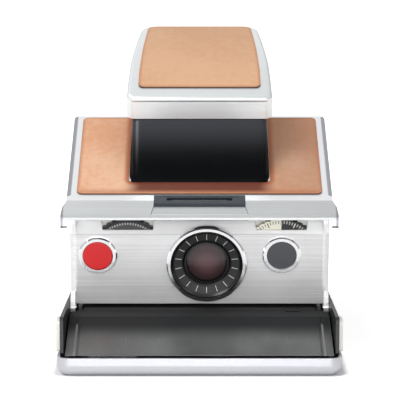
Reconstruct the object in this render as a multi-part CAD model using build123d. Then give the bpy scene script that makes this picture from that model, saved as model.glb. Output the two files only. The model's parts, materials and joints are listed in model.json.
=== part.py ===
from build123d import *
import os
from math import sin, cos, asin, atan2, hypot, radians, degrees

# Folding single-lens-reflex instant camera, standing erected on its base.
# Millimetres. +X is to the right seen from the front, the lens looks to -Y, +Z is up.
# Most outlines are written in the side view, as (distance from the rear end, height).

os.makedirs("parts", exist_ok=True)

# ---- driving dimensions ----------------------------------------------------
body_length = 178.0
body_width = 104.0
body_wall = 1.2
lip_height = 6.8
body_corner = 5.0
body_edge = 4.0
running_gap = 0.3

chassis_width = 101.6
chassis_height = 19.0
side_wall_height = 20.2
side_wall = 1.5
cheek_height = 21.2
cheek_wall = 1.3
cheek_end = 174.5

folded_thickness = 28.0
cover_width = 100.0
cover_skin = 1.4
skirt_wall = 1.4
rear_skirt_depth = 5.6
front_skirt_depth = 2.2
cover_border = 3.65
leather = 0.45
leather_corner = 2.2

rear_pivot_inset = 5.0
rear_pivot_height = 20.0
front_edge_from_rear = 144.9
front_edge_height = 60.3
front_slope = 26.07
front_cover_length = 62.6
apex_pivot_depth = 6.0
housing_pivot_depth = 9.0
base_pivot_height = 18.2
pin_radius = 1.2
lug_radius = 2.3
barrel_radius = 4.3

housing_width = 98.6
face_height = 28.4
face_lean = 14.0
face_from_rear = 133.2
face_bottom_height = 19.2
bevel = 4.8
housing_wall = 1.2
housing_depth_bottom = 4.6
housing_depth_top = 6.6
back_thickness = 0.95
housing_edge_radius = 2.6
rear_corner_cut = 1.6

lens_x = 2.7
lens_up = 16.75
lens_ring_radius = 15.25
lens_ring_bore = 13.75
lens_ring_height = 2.2
focus_ring_radius = 13.65
glass_radius = 7.7
lens_bezel_radius = 8.4
barrel_bore = 7.9

button_x = -38.6
meter_x = 31.2
eye_up = 20.2
eye_radius = 5.7
eye_bezel_radius = 7.35
button_travel = 1.0

focus_wheel_x = -27.2
exposure_wheel_x = 31.0
wheel_radius = 14.6
wheel_up = 19.2
wheel_front = -2.2
wheel_thickness = 2.1
wheel_notches = 40

notch_width = 52.4
leather_notch_width = 53.8
notch_start = 12.0
leather_notch_start = 12.2

cap_width = 56.0
cap_rear_width = 48.8
cap_length = 62.0
cap_lip = 33.5
cap_bottom = 15.8
cap_lip_height = 9.4
cap_rear_height = 7.2
cap_crown = 11.2
cap_edge_radius = 1.7
cap_wall = 1.2
cap_drop = 14.3
cap_shift = 21.5
link_front_foot = 31.5
link_rear_foot = 56.0
link_foot_height = 2.2
link_wall = 1.2
link_half_width = 1.3
boot_half = 26.05
boot_wall = 0.3
boot_rear_foot = 60.5
boot_rear_top = 66.0
link_pin_radius = 0.6

pack_width = 90.4
pack_length = 112.0
pack_height = 14.2
picture_size = 79.0
door_start = 126.1
door_width = 97.7
crest_from_rear = 148.6
crest_height = 16.9
door_plate = 1.4
roller_radius = 3.3
roller_from_rear = 129.5
nip_height = 12.0
gear_module = 0.5

# ---- linkage worked out from the driving dimensions ------------------------
half_length = body_length / 2
slope = radians(front_slope)
lean = radians(face_lean)


def front_point(back, up):
    """Side-view point on the front cover: distance back from its front edge, height above its surface."""
    return (
        front_edge_from_rear - back * cos(slope) + up * sin(slope),
        front_edge_height + back * sin(slope) + up * cos(slope),
    )


def turn(vector, angle):
    return (
        vector[0] * cos(angle) - vector[1] * sin(angle),
        vector[0] * sin(angle) + vector[1] * cos(angle),
    )


rear_pivot = (rear_pivot_inset, rear_pivot_height)
apex_pivot = front_point(front_cover_length, -apex_pivot_depth)
top_pivot = front_point(0, -housing_pivot_depth)
rear_pivot_depth = folded_thickness - rear_pivot_height
apex_from_rear_pivot = (apex_pivot[0] - rear_pivot[0], apex_pivot[1] - rear_pivot[1])
rear_span = hypot(*apex_from_rear_pivot)
rear_cover_length = (rear_span**2 - (rear_pivot_depth - apex_pivot_depth) ** 2) ** 0.5
rear_slope = atan2(apex_from_rear_pivot[1], apex_from_rear_pivot[0]) - asin(
    (rear_pivot_depth - apex_pivot_depth) / rear_span
)
folded_top_pivot = (
    rear_pivot[0] + rear_cover_length + front_cover_length,
    folded_thickness - housing_pivot_depth,
)
middle = [(a + b) / 2 for a, b in zip(top_pivot, folded_top_pivot)]
run = folded_top_pivot[0] - top_pivot[0]
drop = top_pivot[1] - folded_top_pivot[1]
base_pivot = (
    middle[0] + (base_pivot_height - middle[1]) * drop / run,
    base_pivot_height,
)
arm = (top_pivot[0] - base_pivot[0], top_pivot[1] - base_pivot[1])
folded_arm = (folded_top_pivot[0] - base_pivot[0], folded_top_pivot[1] - base_pivot[1])
housing_turn = degrees(atan2(arm[1], arm[0]) - atan2(folded_arm[1], folded_arm[0]))
link_angle = 2 * atan2(cap_shift, cap_drop)
link_length = cap_drop / sin(link_angle)


def world(point):
    """Side-view point to (y, z)."""
    return (half_length - point[0], point[1])


def frame_at(point, z_dir):
    y, z = world(point)
    return Plane(origin=(0, y, z), x_dir=(1, 0, 0), z_dir=z_dir).location


# Local axes: x to the right, y along the part, z out of its outer surface.
BASE = Location((0, 0, 0))
FRONT = frame_at((front_edge_from_rear, front_edge_height), (0, -sin(slope), cos(slope)))
rear_top = (
    apex_pivot[0] - apex_pivot_depth * sin(rear_slope),
    apex_pivot[1] + apex_pivot_depth * cos(rear_slope),
)
REAR = frame_at(rear_top, (0, sin(rear_slope), cos(rear_slope)))
FACE = frame_at((face_from_rear, face_bottom_height), (0, -cos(lean), -sin(lean)))


def to_face(point):
    """Side-view point to (up the face, out of the face)."""
    d = (point[0] - face_from_rear, point[1] - face_bottom_height)
    return (d[0] * sin(lean) + d[1] * cos(lean), d[0] * cos(lean) - d[1] * sin(lean))


# ---- helpers ---------------------------------------------------------------
def block(frame, x, y, z):
    """Box between the pairs x, y and z of a local frame."""
    sizes = [abs(pair[1] - pair[0]) for pair in (x, y, z)]
    return frame * Pos(*[sum(pair) / 2 for pair in (x, y, z)]) * Box(*sizes)


def side_solid(frame, points, x):
    """Outline in a frame's (y, z) plane, extruded between the pair x."""
    face = Plane.YZ * Polygon(*points, align=None)
    return frame * Pos(x[0], 0, 0) * extrude(face, amount=x[1] - x[0], dir=(1, 0, 0))


def body_solid(points, x):
    """Side-view outline (from the rear end, height), extruded between the pair x."""
    return side_solid(BASE, [world(p) for p in points], x)


def slab(frame, outline, z):
    """Sketch in a frame's (x, y) plane, extruded between the pair z."""
    return frame * Pos(0, 0, z[0]) * extrude(outline, amount=z[1] - z[0])


def bar_x(frame, y, z, radius, x):
    """Round bar along X at (y, z) of a frame."""
    return frame * Pos((x[0] + x[1]) / 2, y, z) * Rot(0, 90, 0) * Cylinder(radius, abs(x[1] - x[0]))


def disc(x, up, radius, n):
    """Round disc on the housing's face, between the pair n out of the face."""
    return FACE * Pos(x, up, (n[0] + n[1]) / 2) * Cylinder(radius, n[1] - n[0])


def both(make):
    """The right-hand piece that make(side) gives, and its mirror image on the left."""
    return make(1) + make(-1)


def span(side, a, b):
    return (a, b) if side > 0 else (-b, -a)


def save(name, shape):
    solids = shape.solids()
    export_step(Compound(children=list(solids)) if len(solids) > 1 else solids[0], f"parts/{name}.step")


def gear(radius, width, frame_point, x):
    """Spur gear along X: tip radius, with teeth 2 modules deep."""
    y, z = world(frame_point)
    teeth = round(2 * (radius - gear_module) / gear_module)
    wheel = Cylinder(radius, width)
    for i in range(teeth):
        gap = Pos(radius, 0, 0) * Box(3 * gear_module, gear_module * 1.55, 2 * width)
        wheel -= Rot(0, 0, 360 / teeth * i) * gap
    return Pos(x, y, z) * Rot(0, 90, 0) * wheel


# ---- base ------------------------------------------------------------------
def rounded_tray(inset, top):
    """The lower body's outline, inset by one wall or none."""
    low = inset
    corner = body_corner - inset
    edge = body_edge - inset
    tray = Pos(0, 0, (low + top) / 2) * Box(
        body_width - 2 * inset, body_length - 2 * inset, top - low
    )
    tray = fillet(tray.edges().filter_by(Axis.Z), corner)
    return fillet(tray.faces().sort_by(Axis.Z)[0].edges(), edge)


cavity_top = 40.0
cavity = rounded_tray(body_wall, cavity_top)
tray = rounded_tray(0, lip_height) - cavity
shell_end = door_start - 1.5
base_shell = tray & body_solid([(-1, -1), (shell_end, -1), (shell_end, 9), (-1, 9)], (-60, 60))
door_tray = tray & body_solid([(door_start, -1), (200, -1), (200, 9), (door_start, 9)], (-60, 60))

chassis_half = chassis_width / 2
chassis_end = shell_end - 0.3
pack_half = pack_width / 2
pack_rear = 10.0
pack_front = pack_rear + pack_length
pack_top = body_wall + pack_height


def make_chassis():
    frame = body_solid(
        [(0, body_wall), (chassis_end, body_wall), (chassis_end, chassis_height), (0, chassis_height)],
        (-chassis_half, chassis_half),
    ) & cavity
    chamber = body_solid(
        [(pack_rear, 0), (200, 0), (200, pack_top), (pack_rear, pack_top)], (-pack_half, pack_half)
    )
    gate = (picture_size + 2) / 2
    gate_rear, gate_front = pack_rear + 4, pack_rear + 5 + picture_size
    exposure_gate = body_solid(
        [(gate_rear, 5), (gate_front, 5), (gate_front, 30), (gate_rear, 30)], (-gate, gate)
    )
    roof_pocket = body_solid(
        [(gate_front + 4, pack_top + 1), (chassis_end - 2, pack_top + 1), (chassis_end - 2, 30), (gate_front + 4, 30)],
        (-45.4, 45.4),
    )
    frame -= chamber
    frame -= exposure_gate
    frame -= roof_pocket
    rear = rear_pivot[0] + lug_radius + 1.2

    def wall(side):
        x = span(side, chassis_half - side_wall, chassis_half)
        return body_solid(
            [(rear, 12), (chassis_end, 12), (chassis_end, side_wall_height), (rear, side_wall_height)], x
        )

    def cheek(side):
        x = span(side, chassis_half - cheek_wall, chassis_half)
        low = lip_height + running_gap
        return body_solid(
            [
                (chassis_end, low),
                (cheek_end - 1.0, low),
                (cheek_end, low + 1.0),
                (cheek_end, cheek_height - 1.0),
                (cheek_end - 1.0, cheek_height),
                (base_pivot[0] + 12, cheek_height - 0.4),
                (base_pivot[0] + 2, side_wall_height + 0.4),
                (base_pivot[0] - 2, side_wall_height + 0.4),
                (chassis_end, side_wall_height),
            ],
            x,
        )

    def lug(side):
        x = span(side, 46.2, chassis_half - side_wall)
        y, z = world(rear_pivot)
        ear = bar_x(BASE, y, z, lug_radius, x)
        foot = body_solid(
            [
                (rear_pivot[0] - lug_radius, chassis_height - 2),
                (rear_pivot[0] + lug_radius, chassis_height - 2),
                (rear_pivot[0] + lug_radius, rear_pivot[1]),
                (rear_pivot[0] - lug_radius, rear_pivot[1]),
            ],
            x,
        )
        return ear + foot

    def lug_pocket(side):
        x = span(side, 42.4, 46.2)
        return body_solid([(-1, 17.2), (12, 17.2), (12, 30), (-1, 30)], x)

    frame -= both(lug_pocket)
    frame += both(wall) + both(cheek) + both(lug)
    y, z = world(rear_pivot)
    frame -= both(lambda side: bar_x(BASE, y, z, pin_radius, span(side, 40, 49.2)))
    y, z = world(base_pivot)
    frame -= both(lambda side: bar_x(BASE, y, z, pin_radius, span(side, 40, 60)))
    return frame


def make_film_pack():
    pack = body_solid(
        [(pack_rear, body_wall), (pack_front, body_wall), (pack_front, pack_top), (pack_rear, pack_top)],
        (-pack_half + 0.2, pack_half - 0.2),
    )
    window_rear = pack_rear + 5
    window = body_solid(
        [
            (window_rear, pack_top - 0.8),
            (window_rear + picture_size, pack_top - 0.8),
            (window_rear + picture_size, 30),
            (window_rear, 30),
        ],
        (-picture_size / 2, picture_size / 2),
    )
    exit_slot = body_solid(
        [(pack_front - 3, pack_top - 2.6), (200, pack_top - 2.6), (200, pack_top - 1.4), (pack_front - 3, pack_top - 1.4)],
        (-44.2, 44.2),
    )
    return pack - window - exit_slot


def make_fresnel_carrier():
    low = chassis_height
    outline = [(pack_rear + 1, low), (pack_rear + 8 + picture_size, low)]
    outline += [(u, low + 1.2) for u, _ in reversed(outline)]
    return body_solid(outline, (-43, 43))


def make_pins(point, x):
    y, z = world(point)
    return both(lambda side: bar_x(BASE, y, z, pin_radius, span(side, *x)))


# ---- rear cover ------------------------------------------------------------
cover_half = cover_width / 2


def make_rear_cover():
    end = rear_cover_length - 2.4
    skin = block(REAR, (-cover_half, cover_half), (0.4, end), (-cover_skin, 0))
    skin = fillet(skin.edges().filter_by(lambda e: abs(e.length - cover_skin) < 1e-6), 1.2)

    def skirt(side):
        x = span(side, cover_half - skirt_wall, cover_half)
        return block(REAR, x, (9, end - 1.3), (-rear_skirt_depth, -0.5))

    rear_wall = block(REAR, (-cover_half + 1.3, cover_half - 1.3), (end - 1.5, end - 0.1), (-4, -0.5))

    def lug(side):
        x = span(side, 42.9, 45.9)
        pivot = (rear_cover_length, -rear_pivot_depth)
        arm_outline = [
            (end - 12, -1),
            (end - 1.5, -1),
            (pivot[0] + lug_radius - 0.3, pivot[1] + 1),
            (pivot[0] - lug_radius, pivot[1] - 0.6),
        ]
        return side_solid(REAR, arm_outline, x) + bar_x(REAR, *pivot, lug_radius, x)

    cover = skin + both(skirt) + rear_wall + both(lug)
    bore = both(
        lambda side: bar_x(REAR, rear_cover_length, -rear_pivot_depth, pin_radius + 0.05, span(side, 40, 48))
    )
    return cover - bore


def make_rear_leather():
    half = cover_half - cover_border
    first, last = 2.6, rear_cover_length - 7
    outline = Pos(0, (first + last) / 2) * RectangleRounded(2 * half, last - first, leather_corner)
    return slab(REAR, outline, (0, leather))


mirror_top, mirror_bottom = 13.0, 87.4


def make_taking_mirror():
    outline = Polygon(
        (-36, mirror_top), (36, mirror_top), (43, mirror_bottom), (-43, mirror_bottom), align=None
    )
    return slab(REAR, outline, (-cover_skin - 2.0, -cover_skin))


def make_apex_barrel():
    tube = bar_x(REAR, 0, -apex_pivot_depth, barrel_radius, (-45, 45))
    web = side_solid(
        REAR,
        [(1.0, -cover_skin), (8.5, -cover_skin), (8.5, -3.2), (3.4, -apex_pivot_depth - 1), (0.5, -4)],
        (-45, 45),
    )
    bore = both(
        lambda side: bar_x(REAR, 0, -apex_pivot_depth, pin_radius, span(side, 39, 46))
    )
    return tube + web - bore


# ---- front cover -----------------------------------------------------------
visor_reach = 7.2
visor_drop = 3.9
socket_half = 17.2
socket_front = 2.2
bridge_half = 18.3
bridge_front = 6.0


def make_front_cover():
    rear = front_cover_length - 0.4
    skin = block(FRONT, (-cover_half, cover_half), (0, rear), (-cover_skin, 0))
    corners = skin.edges().filter_by(lambda e: abs(e.length - cover_skin) < 1e-6).sort_by(Axis.Y)[-2:]
    skin = fillet(corners, 2.2)
    notch_half = notch_width / 2
    opening = Pos(0, notch_start + rear / 2) * RectangleRounded(notch_width, rear, 2.0)
    notch = slab(FRONT, opening, (-5, 5))
    visor = side_solid(
        FRONT,
        [
            (1.0, 0),
            (0, 0),
            (-6.0, -2.3),
            (-visor_reach + 0.3, -3.1),
            (-visor_reach, -visor_drop),
            (-visor_reach + 0.7, -visor_drop - 0.6),
            (-visor_reach + 1.6, -visor_drop + 0.1),
            (-5.0, -3.4),
            (0, -cover_skin),
            (1.0, -cover_skin),
        ],
        (-body_width / 2, body_width / 2),
    )
    flare = Polygon(
        (-cover_half, 1.2),
        (-cover_half, 0),
        (-body_width / 2 + 0.6, -2.5),
        (-body_width / 2, -6.0),
        (-body_width / 2, -12),
        (body_width / 2, -12),
        (body_width / 2, -6.0),
        (body_width / 2 - 0.6, -2.5),
        (cover_half, 0),
        (cover_half, 1.2),
        align=None,
    )
    visor &= slab(FRONT, flare, (-20, 5))

    def ear(side):
        x = span(side, housing_width / 2 + running_gap, body_width / 2)
        outline = [
            (-1.0, -0.7),
            (-6.0, -2.4),
            (-visor_reach, -visor_drop),
            (-visor_reach - 0.9, -6.0),
            (-visor_reach - 0.6, -7.2),
            (-visor_reach + 0.6, -7.6),
            (-4.0, -5.6),
            (-1.0, -2.4),
        ]
        return side_solid(FRONT, outline, x) & slab(FRONT, flare, (-20, 5))

    def skirt(side):
        x = span(side, cover_half - skirt_wall, cover_half)
        return block(FRONT, x, (10, rear - 5), (-front_skirt_depth, -0.5))

    def apex_lug(side):
        x = span(side, 45.3, 48.0)
        pivot = (front_cover_length, -apex_pivot_depth)
        outline = [
            (rear - 9, -1),
            (rear - 0.2, -1),
            (pivot[0] + lug_radius - 0.2, pivot[1] + 1),
            (pivot[0] - lug_radius, pivot[1] - 0.6),
        ]
        return side_solid(FRONT, outline, x) + bar_x(FRONT, *pivot, lug_radius, x)

    def link_lug(side, foot, inner, outer):
        x = span(side, inner, notch_half + 0.3)
        tongue = block(FRONT, x, (foot - 2, foot + 2), (-cover_skin, 0))
        x = span(side, inner, outer)
        post = block(FRONT, x, (foot - 1.5, foot + 1.5), (-0.4, link_foot_height))
        return tongue + post + bar_x(FRONT, foot, link_foot_height, 1.5, x)

    cover = skin - notch + visor + both(ear) + both(skirt) + both(apex_lug)
    cover += both(lambda side: link_lug(side, link_front_foot, 24.7, 25.7))
    cover += both(lambda side: link_lug(side, link_rear_foot, 22.6, 23.6))
    socket_plan = Polygon(
        (-socket_half, 3.4),
        (-socket_half, -socket_front),
        (-bridge_half, -bridge_front),
        (bridge_half, -bridge_front),
        (socket_half, -socket_front),
        (socket_half, 3.4),
        align=None,
    )
    cover -= slab(FRONT, socket_plan, (-9, 3))
    cover -= both(
        lambda side: bar_x(
            FRONT, front_cover_length, -apex_pivot_depth, pin_radius + 0.05, span(side, 40, 49)
        )
    )
    for foot in (link_front_foot, link_rear_foot):
        cover -= bar_x(FRONT, foot, link_foot_height, link_pin_radius, (-26, 26))
    return cover


def make_front_leather():
    half = cover_half - cover_border
    first, last = 4.3, front_cover_length - 2.2
    outline = Pos(0, (first + last) / 2) * RectangleRounded(2 * half, last - first, leather_corner)
    depth = last + 3 - leather_notch_start
    cut = Pos(0, leather_notch_start + depth / 2) * RectangleRounded(leather_notch_width, depth, 2.3)
    sheet = slab(FRONT, outline, (0, leather))
    return sheet - slab(FRONT, cut, (-1, 1))


def make_flash_socket():
    half = socket_half
    housing = block(FRONT, (-half, half), (-2.2, 3.4), (-1.7, 0.3))
    housing += block(FRONT, (-half, half), (-2.2, -0.9), (-5.4, -1.0))
    slot = block(FRONT, (-12.2, 12.2), (-0.2, 1.7), (-0.9, 1))
    return housing - slot


def make_flash_cover():
    near, far = -socket_front, 0.15 - bridge_front
    outline = [(near, -1.15), (far, -2.35), (far, -5.2), (near, -5.4)]
    plan = Polygon(
        (-socket_half + 0.05, near),
        (-bridge_half + 0.1, far),
        (bridge_half - 0.1, far),
        (socket_half - 0.05, near),
        align=None,
    )
    return side_solid(FRONT, outline, (-bridge_half, bridge_half)) & slab(FRONT, plan, (-6, 1))


def make_viewfinder_boot():
    top = cap_bottom - 0.15

    def bag(half, front, rear, low, high):
        outline = [(front[0], low), (front[1], high), (rear[1], high), (rear[0], low)]
        solid = side_solid(FRONT, outline, (-half, half))
        corners = solid.edges().filter_by(lambda e: abs(abs(e.center().X) - half) < 1e-6)
        front_corners = corners.filter_by(lambda e: e.length > 8).sort_by(Axis.Y)[:2]
        return fillet(front_corners, half - boot_half + 3.0)

    run = (cap_lip + 0.4 - notch_start - 0.7) / (top - 0.15)
    lean_back = (boot_rear_top - boot_rear_foot) / (top - 0.15)
    front, rear = notch_start + 0.7, boot_rear_foot
    outer = bag(boot_half, (front, cap_lip + 0.4), (rear, boot_rear_top), 0.15, top)
    inner = bag(
        boot_half - boot_wall,
        (front + 1.2 - 1.15 * run, cap_lip + 1.6 + run),
        (rear - 1.2 - 1.15 * lean_back, boot_rear_top - 1.2 + lean_back),
        -1,
        top + 1,
    )
    boot = outer - inner
    for foot in (link_front_foot, link_rear_foot):
        boot -= bar_x(FRONT, foot + link_lean, link_top_height, 1.5, (-28, 28))
    return boot


# ---- viewfinder cap and its links -----------------------------------------
cap_rear = cap_lip + cap_length
link_top_height = link_foot_height + cap_drop
link_lean = -link_length * cos(link_angle)


def make_link(foot, inner):
    """A pair of flat links from the front cover up to the cap."""

    def one(side):
        x = span(side, inner, inner + link_wall)
        head = (foot + link_lean, link_top_height)
        along = (link_lean / link_length, cap_drop / link_length)
        across = (-along[1] * link_half_width, along[0] * link_half_width)
        base = (foot, link_foot_height)
        outline = [
            (base[0] + across[0], base[1] + across[1]),
            (head[0] + across[0], head[1] + across[1]),
            (head[0] - across[0], head[1] - across[1]),
            (base[0] - across[0], base[1] - across[1]),
        ]
        link = side_solid(FRONT, outline, x)
        for end in (base, head):
            link += bar_x(FRONT, *end, link_half_width, x)
            link -= bar_x(FRONT, *end, link_pin_radius + 0.05, x)
        return link

    return both(one)


cap_taper = ((0.22, 0.4), (0.40, 0.9), (0.56, 1.8), (0.78, 3.2), (1.0, 4.8))


def cap_solid(inset):
    """The cap's outer shape, or its hollow at one wall's inset."""
    front, rear = cap_lip + inset, cap_rear - inset
    low = cap_bottom if inset == 0 else cap_bottom - 5
    lip_top = cap_bottom + cap_lip_height - inset
    crown = cap_bottom + cap_crown - inset
    rear_top = cap_bottom + cap_rear_height - inset
    side = make_face(
        Plane.YZ
        * (
            Line((front, low), (front, lip_top))
            + ThreePointArc((front, lip_top), (cap_lip + cap_length * 0.45, crown), (rear, rear_top))
            + Line((rear, rear_top), (rear, low))
            + Line((rear, low), (front, low))
        )
    )
    half = cap_width / 2 - inset
    shape = FRONT * Pos(-half, 0, 0) * extrude(side, amount=2 * half, dir=(1, 0, 0))
    sides = [(front, half)]
    for share, narrower in cap_taper:
        sides.append((front + share * (rear - front), half - narrower))
    outline = [(x, y) for y, x in sides] + [(-x, y) for y, x in reversed(sides)]
    plan = Polygon(*outline, align=None)
    plan = fillet(plan.vertices().sort_by(Axis.Y)[:2], 3.0 - inset)
    plan = fillet(plan.vertices().sort_by(Axis.Y)[-2:], 5.5 - inset)
    return shape & slab(FRONT, plan, (0, 60))


def cap_lug(side, foot, inner):
    """Ear inside the cap that carries a link's upper end."""
    head = (foot + link_lean, link_top_height)
    half = cap_width / 2 - (cap_width - cap_rear_width) / 2 * max(0, (head[0] - cap_lip - 11) / (cap_length - 11))
    x = span(side, inner + link_wall + 0.2, half - cap_wall + 0.2)
    ear = block(FRONT, x, (head[0] - 1.6, head[0] + 1.6), (link_top_height, cap_bottom + 5))
    return ear + bar_x(FRONT, *head, 1.4, x)


def make_cap():
    shell = cap_solid(0)
    crown = shell.faces().filter_by(GeomType.CYLINDER).sort_by(SortBy.AREA)[-1]
    shell = fillet(crown.edges(), cap_edge_radius)
    shell -= cap_solid(cap_wall)
    shell += both(lambda side: cap_lug(side, link_front_foot, 23.3))
    shell += both(lambda side: cap_lug(side, link_rear_foot, 21.2))
    shell -= block(FRONT, (-9, 9), (cap_rear - 4, cap_rear + 3), (cap_bottom - 1, cap_bottom + 4.8))
    for foot in (link_front_foot, link_rear_foot):
        shell -= bar_x(FRONT, foot + link_lean, link_top_height, link_pin_radius, (-26.4, 26.4))
    return shell


def make_cap_leather():
    band = cap_solid(-leather) - cap_solid(0)
    first, last = cap_lip + 6.0, cap_rear - 1.9
    plan = Polygon(
        (-23.6, first),
        (23.6, first),
        (23.4, first + 12),
        (22.6, first + 28),
        (20.6, last),
        (-20.6, last),
        (-22.6, first + 28),
        (-23.4, first + 12),
        align=None,
    )
    plan = fillet(plan.vertices().sort_by(Axis.Y)[:2], 2.0)
    plan = fillet(plan.vertices().sort_by(Axis.Y)[-2:], 3.5)
    return band & slab(FRONT, plan, (cap_bottom + 3, 60))


def make_eyepiece_frame():
    low, high = cap_bottom + 0.2, cap_bottom + 4.8
    frame = block(FRONT, (-9, 9), (cap_rear - 3.5, cap_rear + 0.4), (low, high))
    return frame - block(FRONT, (-7.4, 7.4), (cap_rear - 6, cap_rear + 3), (low + 0.8, high - 0.8))


def make_eyepiece_lens():
    low, high = cap_bottom + 1.0, cap_bottom + 4.0
    return block(FRONT, (-7.4, 7.4), (cap_rear - 2.6, cap_rear - 1.0), (low, high))


def make_viewfinder_mirror():
    first = cap_lip + cap_wall
    return block(FRONT, (-13, 13), (first, first + 1.4), (cap_bottom + 0.4, cap_bottom + 6.6))


def make_link_pins(points, inner_front, inner_rear, reach):
    pins = None
    for (back, up), inner in zip(points, (inner_front, inner_rear)):
        for side in (1, -1):
            pin = bar_x(FRONT, back, up, link_pin_radius, span(side, inner, inner + reach))
            pins = pin if pins is None else pins + pin
    return pins


# ---- shutter housing -------------------------------------------------------
half_housing = housing_width / 2
face_top = face_height + bevel
back_slope = (housing_depth_top - housing_depth_bottom) / face_top


def back_depth(up):
    return -(housing_depth_bottom + back_slope * up)


def housing_outline(wall):
    """Side outline of the housing's front shell, inset by a wall."""
    low, top = wall, face_top - wall
    shift = wall * 0.414
    extra = 5 if wall else 0
    return [
        (low, -wall),
        (face_height - shift, -wall),
        (top, -bevel - shift),
        (top - rear_corner_cut, back_depth(top - rear_corner_cut) - extra),
        (low, back_depth(low) - extra),
    ]


def wheel_window(x):
    bottom = face_height + 1.3
    outline = Polygon(
        (x - 9.5, bottom), (x + 9.5, bottom), (x + 10.6, face_top + 2), (x - 10.6, face_top + 2), align=None
    )
    return slab(FACE, outline, (-12, 2))


def make_housing_shell():
    shell = side_solid(FACE, housing_outline(0), (-half_housing, half_housing))
    front_edges = shell.edges().filter_by(lambda e: abs(e.length - face_height) < 1e-3)
    front_edges = [e for e in front_edges if abs(abs(e.center().X) - half_housing) < 1e-3]
    shell = fillet(front_edges, housing_edge_radius)
    inner = half_housing - housing_wall
    shell -= side_solid(FACE, housing_outline(housing_wall), (-inner, inner))
    shell -= disc(lens_x, lens_up, lens_ring_bore, (-9, 3))
    for x in (button_x, meter_x):
        shell -= disc(x, eye_up, eye_radius + 0.1, (-9, 3))
    for x in (focus_wheel_x, exposure_wheel_x):
        shell -= wheel_window(x)
        shell -= disc(x, wheel_up, wheel_radius + 0.3, (-9, wheel_front + 0.25))
    pivot = to_face(top_pivot)

    def ear(side):
        x = span(side, 46.8, 48.4)
        outline = [
            (face_height - 1.0, -0.9),
            (pivot[0] - 1.6, pivot[1] + 1.8),
            (pivot[0] + 1.8, pivot[1] - 1.6),
            (face_top - 0.4, -bevel - 0.8),
        ]
        return side_solid(FACE, outline, x) + bar_x(FACE, *pivot, 2.3, x)

    shell += both(ear)
    shell -= both(lambda side: bar_x(FACE, *pivot, pin_radius, span(side, 46, 49)))
    return shell


behind_back = side_solid(
    FACE, [(-5, back_depth(-5)), (45, back_depth(45)), (45, -20), (-5, -20)], (-60, 60)
)


def make_housing_back():
    low, top = 0.6, face_top - 2.4
    outline = [
        (low, back_depth(low)),
        (top, back_depth(top)),
        (top - 1.2, back_depth(top) - back_thickness),
        (low, back_depth(low) - back_thickness),
    ]
    half = half_housing - housing_wall - 0.1
    plate = side_solid(FACE, outline, (-half, half))
    plate -= disc(lens_x, lens_up, 5.0, (-12, 0))
    for x in (focus_wheel_x, exposure_wheel_x):
        plate -= wheel_window(x)
    return plate


def make_housing_lugs():
    pivot = to_face(base_pivot)

    def lug(side):
        x = span(side, 47.4, half_housing - 0.1)
        outline = [
            (pivot[0] - 1.9, pivot[1] - 1.3),
            (0.1, 0),
            (5.2, 0),
            (5.8, 0.8),
            (pivot[0] + 2.1, pivot[1] + 0.9),
        ]
        return side_solid(FACE, outline, x) + bar_x(FACE, *pivot, lug_radius, x)

    lugs = both(lug)
    return lugs - both(lambda side: bar_x(FACE, *pivot, pin_radius + 0.05, span(side, 46, 50)))


def ring(x, up, outer, inner, n, chamfer_size=0.5):
    body = disc(x, up, outer, n)
    front = body.faces().sort_by(Axis.Y)[0].edges()
    body = chamfer(front, chamfer_size)
    return body - disc(x, up, inner, (n[0] - 1, n[1] + 1))


def make_focus_ring():
    """Black ring with a conical scale face, stepped down to the glass."""
    profile = Polygon(
        (focus_ring_radius, -1.0),
        (focus_ring_radius, 1.5),
        (focus_ring_radius - 0.5, 1.8),
        (12.3, 0.9),
        (9.5, 0.3),
        (lens_bezel_radius + 0.3, -0.6),
        (lens_bezel_radius, -0.2),
        (glass_radius + 0.15, -0.2),
        (glass_radius + 0.15, -1.6),
        (10.2, -1.6),
        (10.2, -1.0),
        align=None,
    )
    return FACE * Pos(lens_x, lens_up, 0) * revolve(Plane.XZ * profile, Axis.Z)


def make_lens_barrel():
    tube = disc(lens_x, lens_up, 11.0, (-4.1, -1.75)) - disc(lens_x, lens_up, barrel_bore, (-6, 0))

    def post(angle):
        x = lens_x + 9.8 * cos(radians(angle))
        up = lens_up + 9.8 * sin(radians(angle))
        return disc(x, up, 0.9, (-9, -4.0))

    for angle in (50, 130, 230, 310):
        tube += post(angle)
    return tube - behind_back


def lens_element(radius, n_back, n_front, bulge):
    """Glass disc with a domed front."""
    arc = ThreePointArc((0, n_front + bulge), (radius * 0.5, n_front + bulge * 0.76), (radius, n_front))
    outline = make_face(
        Plane.XZ
        * (
            arc
            + Line((radius, n_front), (radius, n_back))
            + Line((radius, n_back), (0, n_back))
            + Line((0, n_back), (0, n_front + bulge))
        )
    )
    return FACE * Pos(lens_x, lens_up, 0) * revolve(outline, Axis.Z)


def make_wheel(x):
    """Thumb wheel with a notched rim."""
    n = (wheel_front - wheel_thickness, wheel_front)
    wheel = disc(x, wheel_up, wheel_radius, n)
    for i in range(wheel_notches):
        angle = 360 / wheel_notches * i
        cut = Rot(0, 0, angle) * Pos(wheel_radius + 0.25, 0, 0) * Cylinder(0.6, 2 * wheel_thickness)
        wheel -= FACE * Pos(x, wheel_up, sum(n) / 2) * cut
    return wheel - disc(x, wheel_up, pin_radius + 0.05, (-9, 0))


def make_wheel_axles():
    def axle(x):
        return disc(x, wheel_up, pin_radius, (-9, wheel_front + 0.25))

    return axle(focus_wheel_x) + axle(exposure_wheel_x) - behind_back


def make_button():
    cap = disc(button_x, eye_up, eye_radius - 0.05, (-1.0, 1.6))
    return fillet(cap.faces().sort_by(Axis.Y)[0].edges(), 0.4)


def make_meter_eye():
    return disc(meter_x, eye_up, eye_radius, (-1.7, 0.5))


def make_circuit_board():
    return block(FACE, (-46, 46), (1.4, 4.2), (-3.4, -2.6)) + block(FACE, (-14, -6), (1.6, 4.0), (-2.6, -1.2))


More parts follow.
